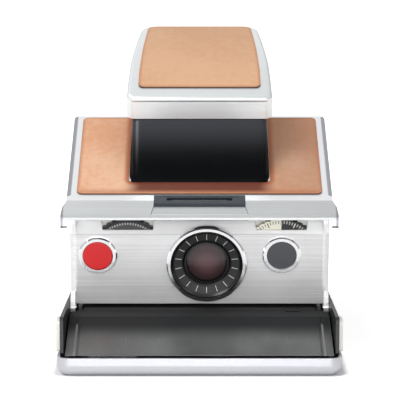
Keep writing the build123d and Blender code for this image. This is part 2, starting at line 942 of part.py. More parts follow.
def make_solenoid():
    core = bar_x(FACE, 29.2, -4.85, 1.2, (-2, 7))
    return core + block(FACE, (-1, 6), (28.6, 29.8), (-9, -4.8)) - behind_back


blade_half = 8.5
shutter_open = 6.0


def make_blade(side, n):
    """Thin shutter blade with its aperture beside the lens axis."""
    blade = block(FACE, (lens_x - blade_half, lens_x + blade_half), (lens_up - 6, lens_up + 6), n)
    return blade - disc(lens_x + side * 3.0, lens_up, 2.6, (-9, 0))


# ---- film door -------------------------------------------------------------
door_half = door_width / 2
plate_front = (176.0, 7.7)


def make_door_nose():
    top = [(134.3, crest_height), (crest_from_rear, crest_height), plate_front]
    under = [
        (plate_front[0], plate_front[1] - 0.3),
        (172.5, 7.4),
        (crest_from_rear - 0.4, crest_height - door_plate),
        (134.3, crest_height - door_plate),
    ]
    plate = body_solid(top + under, (-door_half, door_half))

    def rib(side):
        x = span(side, door_half - 1.6, door_half)
        return body_solid(
            [(134.3, 2.4), (172, 2.4), (172, 8.8), (crest_from_rear, crest_height - 0.4), (134.3, crest_height - 0.4)], x
        )

    nose = plate + both(rib)
    run = plate_front[0] - crest_from_rear
    fall = crest_height - plate_front[1]
    pitch = atan2(fall, run)
    y, z = world(((plate_front[0] + crest_from_rear) / 2, (plate_front[1] + crest_height) / 2))
    groove = Rot(degrees(pitch), 0, 0) * Box(0.5, 2 * hypot(run, fall), 0.6)
    nose -= both(lambda side: Pos(side * 45.5, y, z) * groove)
    nose -= both(
        lambda side: body_solid([(120, 1), (139.5, 1), (139.5, 30), (120, 30)], span(side, 46.9, 60))
    )
    nose -= body_solid([(130, 1), (147, 1), (147, 12), (130, 12)], (-48.3, -46.4))
    nose += body_solid(
        [(134.3, crest_height - 0.5), (139, crest_height - 0.5), (139, crest_height + 0.5), (134.3, crest_height + 0.5)],
        (33, 38),
    )
    return nose & cavity


def make_roller_brackets():
    low = body_wall

    def bracket(side):
        x = span(side, 45.0, 46.4)
        outline = [
            (126.7, low),
            (133.5, low),
            (134.2, 6),
            (134.2, crest_height - door_plate),
            (133.2, nip_height + roller_radius + 2.8),
            (126.3, nip_height + roller_radius + 2.8),
            (126.3, low + 1),
        ]
        plate = body_solid(outline, x)
        for up in (-roller_radius, roller_radius):
            y, z = world((roller_from_rear, nip_height + up))
            plate -= bar_x(BASE, y, z, pin_radius + 0.05, span(side, 44, 48))
        return plate

    return both(bracket)


gear_x = -47.4
gear_width = 1.2
roller_gear_radius = 2.4
idler_radius = 3.5
idler_at = (135.6, 7.2)
pinion_at = (142.7, 5.4)


def make_roller(height, geared):
    y, z = world((roller_from_rear, height))
    roller = bar_x(BASE, y, z, roller_radius, (-44.6, 44.6)) + bar_x(BASE, y, z, pin_radius, (-46.6, 46.6))
    if geared:
        roller += gear(roller_gear_radius, gear_width, (roller_from_rear, height), gear_x)
    return roller


def make_geared_wheel(at, shaft):
    y, z = world(at)
    wheel = gear(idler_radius, gear_width, at, gear_x)
    return wheel + bar_x(BASE, y, z, 0.8, shaft)


def make_motor():
    y, z = world(pinion_at)
    can = bar_x(BASE, y, z, 4.0, (-44.4, -20))
    boss = bar_x(BASE, y, z, 1.6, (-45.2, -44.4))
    saddle = body_solid(
        [(139.5, body_wall), (146, body_wall), (146, 3.0), (139.5, 3.0)], (-42, -24)
    )
    return can + boss + saddle - bar_x(BASE, y, z, 0.85, (-46, -42))


def make_idler_stud():
    y, z = world(idler_at)
    arm = body_solid([(134.5, body_wall), (137.2, body_wall), (137.2, 8.8), (134.5, 8.8)], (-46.3, -45.2))
    return arm - bar_x(BASE, y, z, 0.85, (-47, -44))


hinge_at = (door_start - 0.3, 1.0)


def make_door_hinge():
    """Pin of the film door, held by knuckles on the base."""
    y, z = world(hinge_at)
    return bar_x(BASE, y, z, 0.5, (-40, 40))


def knuckles(first, count, pitch, length, reach):
    """Row of hinge knuckles round the door's pin, with a web reaching to reach from the rear end."""
    y, z = world(hinge_at)
    row = None
    for i in range(count):
        x0 = first + pitch * i
        knuckle = bar_x(BASE, y, z, 1.0, (x0, x0 + length))
        ends = sorted((hinge_at[0], reach))
        web = body_solid([(ends[0], 0), (ends[1], 0), (ends[1], body_wall), (ends[0], body_wall)], (x0, x0 + length))
        piece = knuckle + web
        row = piece if row is None else row + piece
    return row


def hinged(tray, own_first, other_first, reach):
    """Half of the film door's hinge: this half's knuckles, and clearance for the other's."""
    y, z = world(hinge_at)
    half = tray
    for i in range(4):
        x0 = other_first + 20 * i
        half -= bar_x(BASE, y, z, 1.3, (x0 - 0.3, x0 + 8.3))
        half -= block(BASE, (x0 - 0.3, x0 + 8.3), (y - 1.3, y), (-1, 3))
    half += knuckles(own_first, 4, 20, 8, reach)
    return half - bar_x(BASE, y, z, 0.55, (-41, 41))


def make_latch(side):
    x = span(side, chassis_half + (0.05 if side > 0 else 0), 52.6)
    bar = body_solid([(160, 7.6), (169, 7.6), (169, 19.3), (160, 19.3)], x)
    return fillet(bar.edges().filter_by(Axis.X), 1.0)


# ---- support brace and bellows --------------------------------------------
brace_from_pivot = 50.0
brace_depth = 4.6
brace_foot = (70.0, 20.95)


def rear_point(along, up):
    """Side-view point on the rear cover: distance from the rear pivot toward the apex, height above surface."""
    return (
        rear_pivot[0] + along * cos(rear_slope) - (rear_pivot_depth + up) * sin(rear_slope),
        rear_pivot[1] + along * sin(rear_slope) + (rear_pivot_depth + up) * cos(rear_slope),
    )


brace_head = rear_point(brace_from_pivot, -brace_depth)


def make_brace():
    d = (brace_foot[0] - brace_head[0], brace_foot[1] - brace_head[1])
    length = hypot(*d)
    across = (-d[1] / length * 1.8, d[0] / length * 1.8)
    outline = [
        (brace_head[0] + across[0], brace_head[1] + across[1]),
        (brace_foot[0] + across[0], brace_foot[1] + across[1]),
        (brace_foot[0] - across[0], brace_foot[1] - across[1]),
        (brace_head[0] - across[0], brace_head[1] - across[1]),
    ]
    x = (46.5, 47.7)
    strut = body_solid(outline, x)
    for end in (brace_head, brace_foot):
        y, z = world(end)
        strut += bar_x(BASE, y, z, 1.8, x)
    y, z = world(brace_head)
    return strut - bar_x(BASE, y, z, pin_radius + 0.05, (45, 49))


def make_brace_pin():
    y, z = world(brace_head)
    return bar_x(BASE, y, z, pin_radius, (46.3, cover_half - skirt_wall))


def make_bellows():
    half = 44.0
    wall = 1.0

    def outline(grow, open_sides):
        def face_side(up, out):
            return (
                face_from_rear + up * sin(lean) + out * cos(lean),
                face_bottom_height + up * cos(lean) - out * sin(lean),
            )

        floor = chassis_height + 1.5 + grow - (4 if open_sides else 0)
        roof = -4.4 - grow + (4 if open_sides else 0)
        return [
            (12 + grow, floor),
            (119 - grow, floor),
            face_side(3, back_depth(3) - back_thickness - 0.4 - grow),
            face_side(34.5 - grow, back_depth(34.5) - back_thickness - 0.4 - grow),
            front_point(8 + grow, -3.2 - grow),
            front_point(front_cover_length - 15, -3.2 - grow),
            rear_point(rear_cover_length - 15, roof),
            rear_point(9 + grow, roof),
        ]

    bag = body_solid(outline(0, False), (-half, half))
    bag -= body_solid(outline(wall, True), (-half + wall, half - wall))
    return bag - disc(lens_x, lens_up, 9.0, (-12, -6))


# ---- build and write -------------------------------------------------------
parts = {
    "base_shell": hinged(base_shell, -38, -28, shell_end - 1),
    "chassis": make_chassis(),
    "film_pack": make_film_pack(),
    "fresnel_carrier": make_fresnel_carrier(),
    "rear_hinge_pins": make_pins(rear_pivot, (43.0, 49.2)),
    "housing_hinge_pins": make_pins(base_pivot, (47.0, chassis_half)),
    "rear_cover": make_rear_cover(),
    "rear_leather": make_rear_leather(),
    "taking_mirror": make_taking_mirror(),
    "apex_barrel": make_apex_barrel(),
    "apex_hinge_pins": make_pins(apex_pivot, (39.5, 48.0)),
    "brace_pin": make_brace_pin(),
    "support_brace": make_brace(),
    "front_cover": make_front_cover(),
    "front_leather": make_front_leather(),
    "flash_socket": make_flash_socket(),
    "flash_socket_cover": make_flash_cover(),
    "viewfinder_boot": make_viewfinder_boot(),
    "lower_link_pins": make_link_pins(
        [(link_front_foot, link_foot_height), (link_rear_foot, link_foot_height)], 23.3, 21.2, 2.4
    ),
    "link_front": make_link(link_front_foot, 23.3),
    "link_rear": make_link(link_rear_foot, 21.2),
    "viewfinder_cap": make_cap(),
    "cap_leather": make_cap_leather(),
    "eyepiece_frame": make_eyepiece_frame(),
    "eyepiece_lens": make_eyepiece_lens(),
    "viewfinder_mirror": make_viewfinder_mirror(),
    "upper_link_pins": make_link_pins(
        [(link_front_foot + link_lean, link_top_height), (link_rear_foot + link_lean, link_top_height)],
        23.3,
        21.2,
        3.1,
    ),
    "housing_shell": make_housing_shell(),
    "housing_back": make_housing_back(),
    "housing_lugs": make_housing_lugs(),
    "lens_ring": ring(lens_x, lens_up, lens_ring_radius, lens_ring_bore, (0, lens_ring_height)),
    "focus_ring": make_focus_ring(),
    "lens_barrel": make_lens_barrel(),
    "front_lens": lens_element(glass_radius, -1.6, -0.9, 0.8),
    "rear_lens": lens_element(barrel_bore, -4.0, -3.0, 0.5),
    "wheel_axles": make_wheel_axles(),
    "focus_wheel": make_wheel(focus_wheel_x),
    "exposure_wheel": make_wheel(exposure_wheel_x),
    "button_bezel": ring(button_x, eye_up, eye_bezel_radius, eye_radius + 0.1, (0, 1.3)),
    "shutter_button": make_button(),
    "meter_bezel": ring(meter_x, eye_up, eye_bezel_radius, eye_radius, (0, 0.9)),
    "meter_eye": make_meter_eye(),
    "circuit_board": make_circuit_board(),
    "shutter_solenoid": make_solenoid(),
    "shutter_blade_left": make_blade(1, (-4.75, -4.45)),
    "shutter_blade_right": make_blade(-1, (-5.15, -4.85)),
    "door_tray": hinged(door_tray, -28, -38, door_start + 2.0),
    "door_nose": make_door_nose(),
    "roller_brackets": make_roller_brackets(),
    "idler_bracket": make_idler_stud(),
    "drive_motor": make_motor(),
    "door_hinge_pin": make_door_hinge(),
    "roller_upper": make_roller(nip_height + roller_radius, False),
    "roller_lower": make_roller(nip_height - roller_radius, True),
    "idler_gear": make_geared_wheel(idler_at, (-46.8, -45.3)),
    "motor_pinion": make_geared_wheel(pinion_at, (-46.8, -43)),
    "door_latch_left": make_latch(-1),
    "door_latch_right": make_latch(1),
    "bellows": make_bellows(),
}

for name, shape in parts.items():
    save(name, shape)

print("nodes", len(parts))
print("rear cover turn", degrees(rear_slope), "length", rear_cover_length)
print("front cover turn relative", degrees(rear_slope) + front_slope)
print("housing turn", housing_turn, "link turn", degrees(link_angle), "link length", link_length)
for label, point in (
    ("rear", rear_pivot),
    ("apex", apex_pivot),
    ("top", top_pivot),
    ("base", base_pivot),
    ("brace", brace_head),
    ("link front foot", front_point(link_front_foot, link_foot_height)),
    ("link front head", front_point(link_front_foot + link_lean, link_top_height)),
    ("link rear foot", front_point(link_rear_foot, link_foot_height)),
):
    print(label, "y %.4f z %.4f" % world(point))
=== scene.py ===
"""Folding instant camera: finishes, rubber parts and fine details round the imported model."""

import json
import math

import bmesh
import bpy
from mathutils import Matrix, Vector


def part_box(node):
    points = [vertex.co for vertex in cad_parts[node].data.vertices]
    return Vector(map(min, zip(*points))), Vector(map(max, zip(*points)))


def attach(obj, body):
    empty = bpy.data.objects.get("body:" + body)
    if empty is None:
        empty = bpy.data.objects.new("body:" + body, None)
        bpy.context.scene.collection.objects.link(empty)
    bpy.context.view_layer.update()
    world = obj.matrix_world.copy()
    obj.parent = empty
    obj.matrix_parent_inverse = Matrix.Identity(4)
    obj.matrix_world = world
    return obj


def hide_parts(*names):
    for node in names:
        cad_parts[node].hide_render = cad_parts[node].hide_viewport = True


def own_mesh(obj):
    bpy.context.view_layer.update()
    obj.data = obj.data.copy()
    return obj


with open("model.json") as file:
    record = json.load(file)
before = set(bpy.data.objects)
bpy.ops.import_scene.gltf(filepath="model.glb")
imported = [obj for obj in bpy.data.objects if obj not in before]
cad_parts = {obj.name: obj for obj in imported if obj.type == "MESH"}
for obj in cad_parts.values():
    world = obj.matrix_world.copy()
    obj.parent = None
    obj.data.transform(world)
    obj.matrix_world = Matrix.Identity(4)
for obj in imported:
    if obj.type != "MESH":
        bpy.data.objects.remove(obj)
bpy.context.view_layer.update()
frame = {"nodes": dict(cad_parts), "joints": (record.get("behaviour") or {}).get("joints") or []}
nodes = frame["nodes"]
joints = {joint["name"]: joint for joint in frame["joints"]}
MM = 0.001
RIGHT = Vector((1, 0, 0))


# ---- places on the camera ---------------------------------------------------
def frame_matrix(origin, along, out):
    """Local axes: x to the right, y along the part, z out of its outer surface."""
    matrix = Matrix((RIGHT, along, out)).transposed().to_4x4()
    matrix.translation = origin
    return matrix


def joint_place(name):
    """Where a joint lies, in metres."""
    return Vector(joints[name]["pos_m"])


# How far behind the housing's face the focus ring's joint lies, in millimetres.
RING_JOINT_DEPTH = 0.4
LENS_OUT = Vector(joints["focus_ring_turn"]["axis"]).normalized()
LENS_UP = RIGHT.cross(LENS_OUT) * -1
LENS_AT = joint_place("focus_ring_turn") + LENS_OUT * RING_JOINT_DEPTH * MM
LENS = frame_matrix(LENS_AT, LENS_UP, LENS_OUT)

LINK_FOOT_BACK = 31.5 * MM
LINK_FOOT_HEIGHT = 2.2 * MM
COVER_BACK = (joint_place("cap_link_rear") - joint_place("cap_link_front")).normalized()
COVER_OUT = RIGHT.cross(COVER_BACK)
COVER_AT = joint_place("cap_link_front") - COVER_BACK * LINK_FOOT_BACK - COVER_OUT * LINK_FOOT_HEIGHT
COVER = frame_matrix(COVER_AT, COVER_BACK, COVER_OUT)

REAR_DEPTH = 8 * MM
APEX_DEPTH = 6 * MM
rear_span = joint_place("front_cover_fold") - joint_place("fold")
rear_rise = math.atan2(rear_span.z, -rear_span.y)
rear_angle = rear_rise - math.asin((REAR_DEPTH - APEX_DEPTH) / rear_span.length)
REAR_BACK = Vector((0, math.cos(rear_angle), -math.sin(rear_angle)))
REAR_OUT = RIGHT.cross(REAR_BACK)
REAR = frame_matrix(joint_place("front_cover_fold") + REAR_OUT * APEX_DEPTH, REAR_BACK, REAR_OUT)


# ---- shader maths -----------------------------------------------------------
class Value:
    """A shader socket with arithmetic, so that a pattern reads as an expression."""

    def __init__(self, pattern, socket):
        self.pattern = pattern
        self.socket = socket

    def math(self, operation, first, second=None):
        sockets = {0: first} if second is None else {0: first, 1: second}
        return self.pattern.node("ShaderNodeMath", {"operation": operation}, sockets)

    def __add__(self, other):
        return self.math("ADD", self, other)

    def __radd__(self, other):
        return self.math("ADD", other, self)

    def __sub__(self, other):
        return self.math("SUBTRACT", self, other)

    def __rsub__(self, other):
        return self.math("SUBTRACT", other, self)

    def __mul__(self, other):
        return self.math("MULTIPLY", self, other)

    def __rmul__(self, other):
        return self.math("MULTIPLY", other, self)

    def __truediv__(self, other):
        return self.math("DIVIDE", self, other)

    def __abs__(self):
        return self.math("ABSOLUTE", self)

    def largest(self, other):
        return self.math("MAXIMUM", self, other)

    def least(self, other):
        return self.math("MINIMUM", self, other)

    def power(self, other):
        return self.math("POWER", self, other)

    def root(self):
        return self.math("SQRT", self)

    def rise(self, low, high):
        """0 below low, 1 above high, smooth between them."""
        settings = {"interpolation_type": "SMOOTHSTEP"}
        sockets = {"Value": self, "From Min": low, "From Max": high}
        return self.pattern.node("ShaderNodeMapRange", settings, sockets)

    def fall(self, low, high):
        """1 below low, 0 above high, smooth between them."""
        return 1 - self.rise(low, high)

    def between(self, low, high, soft):
        """1 from low to high, where each border is soft wide and lies inside them."""
        return self.rise(low, low + soft) * self.fall(high - soft, high)

    def folded(self, half_step):
        """An angle that runs up and down over half_step, so that one mark becomes a ring of them."""
        return self.math("PINGPONG", self, half_step)


class Pattern:
    """A node tree that expressions add their nodes to."""

    def __init__(self, tree):
        self.tree = tree

    def feed(self, socket, value):
        if isinstance(value, Value):
            self.tree.links.new(value.socket, socket)
        else:
            socket.default_value = value

    def node(self, kind, settings=None, sockets=None, output=0):
        made = self.tree.nodes.new(kind)
        for key, value in (settings or {}).items():
            setattr(made, key, value)
        for key, value in (sockets or {}).items():
            self.feed(made.inputs[key], value)
        return Value(self, made.outputs[output])

    def place(self, matrix=None, scale=(1, 1, 1)):
        """Object coordinates, in millimetres of a local frame, stretched by scale."""
        inverse = Matrix.Diagonal((1 / MM, 1 / MM, 1 / MM, 1)) @ (matrix or Matrix.Identity(4)).inverted()
        coordinates = self.node("ShaderNodeTexCoord", output=3)
        rotated = self.node(
            "ShaderNodeMapping",
            {"vector_type": "POINT"},
            {
                "Vector": coordinates,
                "Location": inverse.translation,
                "Rotation": inverse.to_3x3().normalized().to_euler(),
                "Scale": (1 / MM, 1 / MM, 1 / MM),
            },
        )
        return self.node("ShaderNodeVectorMath", {"operation": "MULTIPLY"}, {0: rotated, 1: scale})

    def axes(self, vector):
        """The x, y and z of a vector."""
        split = self.tree.nodes.new("ShaderNodeSeparateXYZ")
        self.feed(split.inputs[0], vector)
        return [Value(self, split.outputs[i]) for i in range(3)]

    def noise(self, vector, scale, detail=2.0, roughness=0.5):
        return self.node(
            "ShaderNodeTexNoise",
            None,
            {"Vector": vector, "Scale": scale, "Detail": detail, "Roughness": roughness},
        )

    def cells(self, vector, scale):
        """Distance from the middle of the nearest of many scattered cells."""
        return self.node("ShaderNodeTexVoronoi", {"feature": "F1"}, {"Vector": vector, "Scale": scale})

    def blend(self, factor, first, second):
        """Colour mix: first at 0, second at 1."""
        return self.node("ShaderNodeMix", {"data_type": "RGBA"}, {0: factor, 6: first, 7: second}, output=2)

    def bump(self, height, distance, strength=1.0):
        """distance in metres for a height of 1."""
        sockets = {"Height": height, "Distance": distance, "Strength": strength}
        return self.node("ShaderNodeBump", None, sockets)

    def ray(self, kind):
        """1 for the rays of that kind, 0 for all others."""
        return self.node("ShaderNodeLightPath", output=kind)


class Finish(Pattern):
    """One material, built from its shader outwards."""

    def __init__(self, name, **shader):
        self.material = bpy.data.materials.new(name)
        self.material.use_nodes = True
        super().__init__(self.material.node_tree)
        self.shader = self.tree.nodes["Principled BSDF"]
        self.set(**shader)

    def set(self, **sockets):
        """Feeds sockets of the shader, whose names have _ in place of each space."""
        for key, value in sockets.items():
            self.feed(self.shader.inputs[key.replace("_", " ")], value)


def rgb(red, green, blue):
    """Linear colour from 0-255 screen values."""

    def linear(value):
        value /= 255
        return value / 12.92 if value <= 0.04045 else ((value + 0.055) / 1.055) ** 2.4

    return (linear(red), linear(green), linear(blue), 1.0)


def rectangle_distance(x, y, half_x, centre_y, half_y, corner):
    """Signed distance to a rounded rectangle, in the units of x and y."""
    dx = abs(x) - (half_x - corner)
    dy = abs(y - centre_y) - (half_y - corner)
    outside = (dx.largest(0).power(2) + dy.largest(0).power(2)).root()
    return outside + dx.largest(dy).least(0) - corner


def distance_out(x, y):
    """Distance from the local middle."""
    return (x.power(2) + y.power(2)).root()


def angle_round(x, y):
    """Angle round the local middle, in radians from the y axis."""
    return x.math("ARCTAN2", x, y)


# ---- metals -----------------------------------------------------------------
# Painted highlight: pearl white and a low metallic for a bevel that should look lit.
PAINTED_HIGHLIGHT_WHITE = rgb(252, 252, 252)
PAINTED_HIGHLIGHT_METALLIC = 0.15
# Painted shade: the grey of the rounded sides, and how much of it is laid on.
SIDE_SHADE_GREY = rgb(128, 131, 138)
SIDE_SHADE_SHARE = 0.8
# The cover is narrower behind its visor, so there its sides begin this much closer in.
BEHIND_VISOR = (2.0, 4.0)
BEHIND_VISOR_CLOSER = 2.5


def brushed_metal(
    name,
    matrix,
    tint=(222, 224, 226),
    roughness=0.34,
    across=(3.4, 3.4),
    satin=0.9,
    contrast=0.04,
    painted_highlight_band=None,
    painted_highlight_above=None,
    edge=None,
):
    """Satin plated metal with fine brush lines along x of its frame.

    across is how closely the lines lie along y and z, satin is how metallic the plating is, and
    contrast is how much darker than its tint the dull places are. painted_highlight_band is a
    brighter band painted as a highlight, as (lowest y, highest y, colour), painted_highlight_above
    is the y from which a painted highlight of pearl-white, less metallic satin starts, and edge is
    the distance from the middle at which painted shade darkens the rounded sides.
    """
    finish = Finish(name, Metallic=satin, IOR=1.5)
    here = finish.place(matrix)
    x, y, _ = finish.axes(here)
    lines = finish.noise(finish.place(matrix, (0.010, *across)), 1.0, detail=3.0, roughness=0.55)
    broad = (0.006, across[0] * 0.22, across[1] * 0.22)
    streaks = finish.noise(finish.place(matrix, broad), 1.0, detail=2.0)
    cloud = finish.noise(here, 0.05, detail=3.0)
    scuffs = finish.noise(here, 0.22, detail=5.0, roughness=0.65).rise(0.60, 0.80)
    dull = rgb(*[value * (1 - contrast) for value in tint])
    tone = (lines * 0.5 + streaks * 0.25 + cloud * 0.25).rise(0.34, 0.66)
    base = finish.blend(tone, dull, rgb(*tint))
    # Painted highlight: above this y the bevel is painted pearl white and made less metallic, so that it
    # looks lit.
    if painted_highlight_above:
        painted_highlight = y.rise(painted_highlight_above - 0.4, painted_highlight_above + 0.2)
        base = finish.blend(painted_highlight, base, PAINTED_HIGHLIGHT_WHITE)
        finish.set(Metallic=satin - painted_highlight * (satin - PAINTED_HIGHLIGHT_METALLIC))
    # Painted highlight: a brighter band across the face, where it should look lit.
    if painted_highlight_band:
        lowest, highest, colour = painted_highlight_band
        painted_light_strip = y.rise(lowest - 0.5, lowest + 0.4) * y.fall(highest, highest + 1.0)
        base = finish.blend(painted_light_strip, base, rgb(*colour))
    # Painted shade: the rounded sides are painted darker grey.
    if edge:
        side = abs(x) + y.rise(*BEHIND_VISOR) * BEHIND_VISOR_CLOSER
        base = finish.blend(side.rise(edge - 0.5, edge + 0.1) * SIDE_SHADE_SHARE, base, SIDE_SHADE_GREY)
    finish.set(
        Base_Color=base,
        Roughness=roughness + (lines - 0.5) * 0.05 + (streaks - 0.5) * 0.04 + scuffs * 0.05,
        Normal=finish.bump(lines, 0.0000002),
    )
    return finish.material


def polished_metal(name, tint=(236, 236, 238), roughness=0.07):
    """Bright plating or turned steel, faintly clouded and scuffed."""
    finish = Finish(name, Metallic=1.0)
    cloud = finish.noise(finish.place(), 0.35, detail=3.0)
    rubs = finish.noise(finish.place(None, (0.4, 2.5, 1.2)), 1.0, detail=4.0, roughness=0.7)
    scuffs = rubs.rise(0.62, 0.75)
    finish.set(
        Base_Color=finish.blend(cloud, rgb(*[v * 0.96 for v in tint]), rgb(*tint)),
        Roughness=roughness + cloud * 0.03 + scuffs * 0.06,
    )
    return finish.material


# ---- leather ----------------------------------------------------------------
PORE_BROWN = rgb(140, 84, 56)
# Painted shade on the right side of the hide.
SHADED_BROWN = rgb(118, 80, 60)
# Partly burnished wear at the rims, partly painted shade by the notch and along the front.
BURNISH_AND_SHADE_BROWN = rgb(164, 90, 48)
# Painted shadow under the boot.
UNDER_BOOT_SHADOW_BROWN = rgb(88, 26, 2)
CUT_EDGE_BROWN = rgb(52, 36, 27)


def tan_leather(
    name,
    matrix,
    panel,
    window=None,
    taper=0.0,
    shade=0.0,
    light=(222, 172, 138),
    deep=(206, 150, 114),
):
    """Waxed tan hide round a panel: pores, faint creases, burnished rim and dark cut edge. Round the window
    there is also painted shade by its edges and along the front, and a painted shadow under the boot.

    panel and window are (half width, centre, length, corner) in the millimetres of the frame.
    taper is how much narrower each side gets towards the highest y, shade is how much painted
    shade darkens the hide towards the right, and light and deep are its two tones.
    """
    finish = Finish(name, IOR=1.45, Specular_IOR_Level=0.35, Sheen_Weight=0.06, Sheen_Roughness=0.5)
    here = finish.place(matrix)
    x, y, _ = finish.axes(here)
    half, centre, length, corner = panel
    share = (y - (centre - length / 2)) / length
    wide = abs(x) + share * share * taper
    rim = rectangle_distance(wide, y, half, centre, length / 2, corner)
    cloud = finish.noise(here, 0.030, detail=3.0, roughness=0.5)
    mottle = finish.noise(here, 0.40, detail=5.0, roughness=0.6)
    pores = finish.cells(here, 1.7)
    creases = finish.noise(finish.place(matrix, (0.7, 2.0, 1.0)), 1.0, detail=4.0, roughness=0.6)
    base = finish.blend((cloud * 0.6 + mottle * 0.4).rise(0.36, 0.64), rgb(*deep), rgb(*light))
    base = finish.blend(pores.fall(0.03, 0.26) * 0.13, base, PORE_BROWN)
    # Burnished wear along the panel's rim.
    burnish_and_shade = rim.rise(-1.7, -0.2) * 0.5
    cut = rim.rise(-0.16, -0.02)
    if window:
        half, centre, length, corner = window
        front = centre - length / 2
        inner = 0 - rectangle_distance(x, y, half, centre, length / 2, corner)
        # Painted shadow under the boot, across the front of the notch.
        painted_light_strip = y.rise(4.0, 7.5) * y.fall(front, front + 1) * abs(x).fall(half - 5, half + 3)
        # Painted shade by the notch and along the front, added to the burnished rim.
        burnish_and_shade = burnish_and_shade.largest(inner.rise(-2.6, -0.6) * 0.95).largest(y.fall(5.0, 9.0) * 0.55)
        cut = cut.largest(inner.rise(-0.12, 0.0) * 0.8)
    # Painted shade: the hide darker towards the right.
    base = finish.blend(x.rise(-30, 60) * shade, base, SHADED_BROWN)
    base = finish.blend(burnish_and_shade, base, BURNISH_AND_SHADE_BROWN)
    if window:
        # Painted shadow under the boot.
        base = finish.blend(painted_light_strip * 0.94, base, UNDER_BOOT_SHADOW_BROWN)
    base = finish.blend(cut, base, CUT_EDGE_BROWN)
    height = pores.rise(0.04, 0.40) * 0.5 + creases * 0.5
    finish.set(
        Base_Color=base,
        Roughness=0.50 + mottle * 0.12 - burnish_and_shade * 0.12,
        Normal=finish.bump(height, 0.00005, 0.8),
    )
    return finish.material


# ---- plastics, rubber, glass ------------------------------------------------
def moulded_plastic(name, colour, roughness, grain=0.00002, coat=0.0):
    """Plain moulding with a fine grain of that height in metres, dusty in places, glossy with a coat."""
    finish = Finish(name, IOR=1.5)
    here = finish.place()
    fine = finish.noise(here, 6.0, detail=3.0)
    dust = finish.noise(here, 0.25, detail=5.0, roughness=0.65).rise(0.55, 0.8)
    dark = rgb(*[v * 0.86 for v in colour])
    finish.set(
        Base_Color=finish.blend(fine, dark, rgb(*colour)),
        Roughness=roughness + fine * 0.08 + dust * 0.06,
        Normal=finish.bump(fine, grain),
    )
    if coat:
        finish.set(Coat_Weight=coat, Coat_Roughness=0.12)
    return finish.material


def soft_rubber(name, colour, roughness, wear_and_painted_light=None):
    """Black rubber, whose high places are paler where wear_and_painted_light gives (low height, high
    height, colour): painted sheen for the brighter reflection on the upper part.

    The heights are in millimetres above the front cover.
    """
    finish = Finish(name, IOR=1.5, Specular_IOR_Level=0.5 if wear_and_painted_light is None else 0.05)
    here = finish.place(COVER)
    _, _, height = finish.axes(here)
    skin = finish.noise(here, 2.4, detail=4.0, roughness=0.6)
    bloom = finish.noise(here, 0.12, detail=4.0).rise(0.45, 0.75)
    base = finish.blend(bloom * 0.6, rgb(*colour), rgb(*[min(255, v * 1.3 + 3) for v in colour]))
    # Painted sheen: the upper part paler and coated, for the brighter reflection there.
    if wear_and_painted_light:
        low, high, pale = wear_and_painted_light
        base = finish.blend(height.rise(low, high), base, rgb(*pale))
        finish.set(Coat_Weight=height.rise(low - 3, high) * 0.5, Coat_Roughness=0.25)
    finish.set(
        Base_Color=base,
        Roughness=roughness + skin * 0.08,
        Normal=finish.bump(skin, 0.00002),
    )
    return finish.material


DOOR_RIB = (45.2, 46.1)
DOOR_GROOVE = (44.1, 44.9)
DOOR_LINE_SOFT = 0.2
DOOR_LINES_TOP = (14.6, 15.2)
# Where the painted shade of the door begins, in millimetres.
DOOR_CREST_HEIGHT = (10.5, 15.2)
DOOR_CREST_Y = (-60, -54)
DOOR_BLACK = rgb(6, 8, 11)
DOOR_WORN = rgb(90, 92, 91)
DOOR_RIB_GREY = rgb(120, 121, 120)
DOOR_GROOVE_BLACK = rgb(4, 4, 6)


def door_plastic(name):
    """Satin black moulding with lengthwise rub marks, a pale rib and a dark groove near each end.

    Towards its top ridge and its back it gets dull black, without a coat: painted shade under the housing.
    """
    finish = Finish(name, IOR=1.5, Specular_IOR_Level=0.5, Coat_Roughness=0.34)
    here = finish.place()
    x, y, z = finish.axes(here)
    fine = finish.noise(here, 7.0, detail=3.0)
    lengthwise = finish.noise(finish.place(None, (1.6, 0.10, 0.10)), 1.0, detail=4.0, roughness=0.7)
    rubs = lengthwise.rise(0.56, 0.72)
    wear = finish.noise(here, 0.05, detail=3.0).rise(0.40, 0.65)
    # Painted shade: dull black towards the top ridge and the back, where the housing shades the door.
    painted_shade_crest = y.rise(*DOOR_CREST_Y).largest(z.rise(*DOOR_CREST_HEIGHT))
    below_top = z.fall(*DOOR_LINES_TOP)
    rib = abs(x).between(*DOOR_RIB, DOOR_LINE_SOFT) * below_top
    groove = abs(x).between(*DOOR_GROOVE, DOOR_LINE_SOFT) * below_top
    # Rub wear, kept off where the painted shade is.
    wear_and_painted_light = (rubs * 0.5 + wear * 0.3 + 0.5) * (1 - painted_shade_crest)
    body = finish.blend(wear_and_painted_light, DOOR_BLACK, DOOR_WORN)
    ribbed = finish.blend(rib, body, DOOR_RIB_GREY)
    finish.set(
        Coat_Weight=(1 - painted_shade_crest) * 0.4,
        Base_Color=finish.blend(groove, ribbed, DOOR_GROOVE_BLACK),
        Roughness=0.42 + painted_shade_crest * 0.45 + fine * 0.05 + rubs * 0.06,
        Normal=finish.bump(fine, 0.000008),
    )
    return finish.material


# Bands of marks, as (inner radius, outer radius) in millimetres.
RING_MARKS = (9.62, 12.08)
RING_MARK_SOFT = 0.08
SHORT_MARKS = (12.7, 14.0)
LONG_MARKS = (11.9, 14.0)
# Painted highlights for the glints on the focus wheel's teeth.
FOCUS_TEETH_GLINTS = (12.3, 13.2)
WHEEL_MARK_SOFT = 0.1
# Soft borders, as the radii between which one side turns into the other.
RING_FACE_INNER = (8.9, 9.0)
RING_FACE_OUTER = (12.5, 12.65)
FOCUS_RIM = (13.2, 13.35)
# The wheels' middles in the frame of the lens.
FOCUS_WHEEL_X = -29.9
EXPOSURE_WHEEL_X = 28.3
WHEEL_Y = 2.45


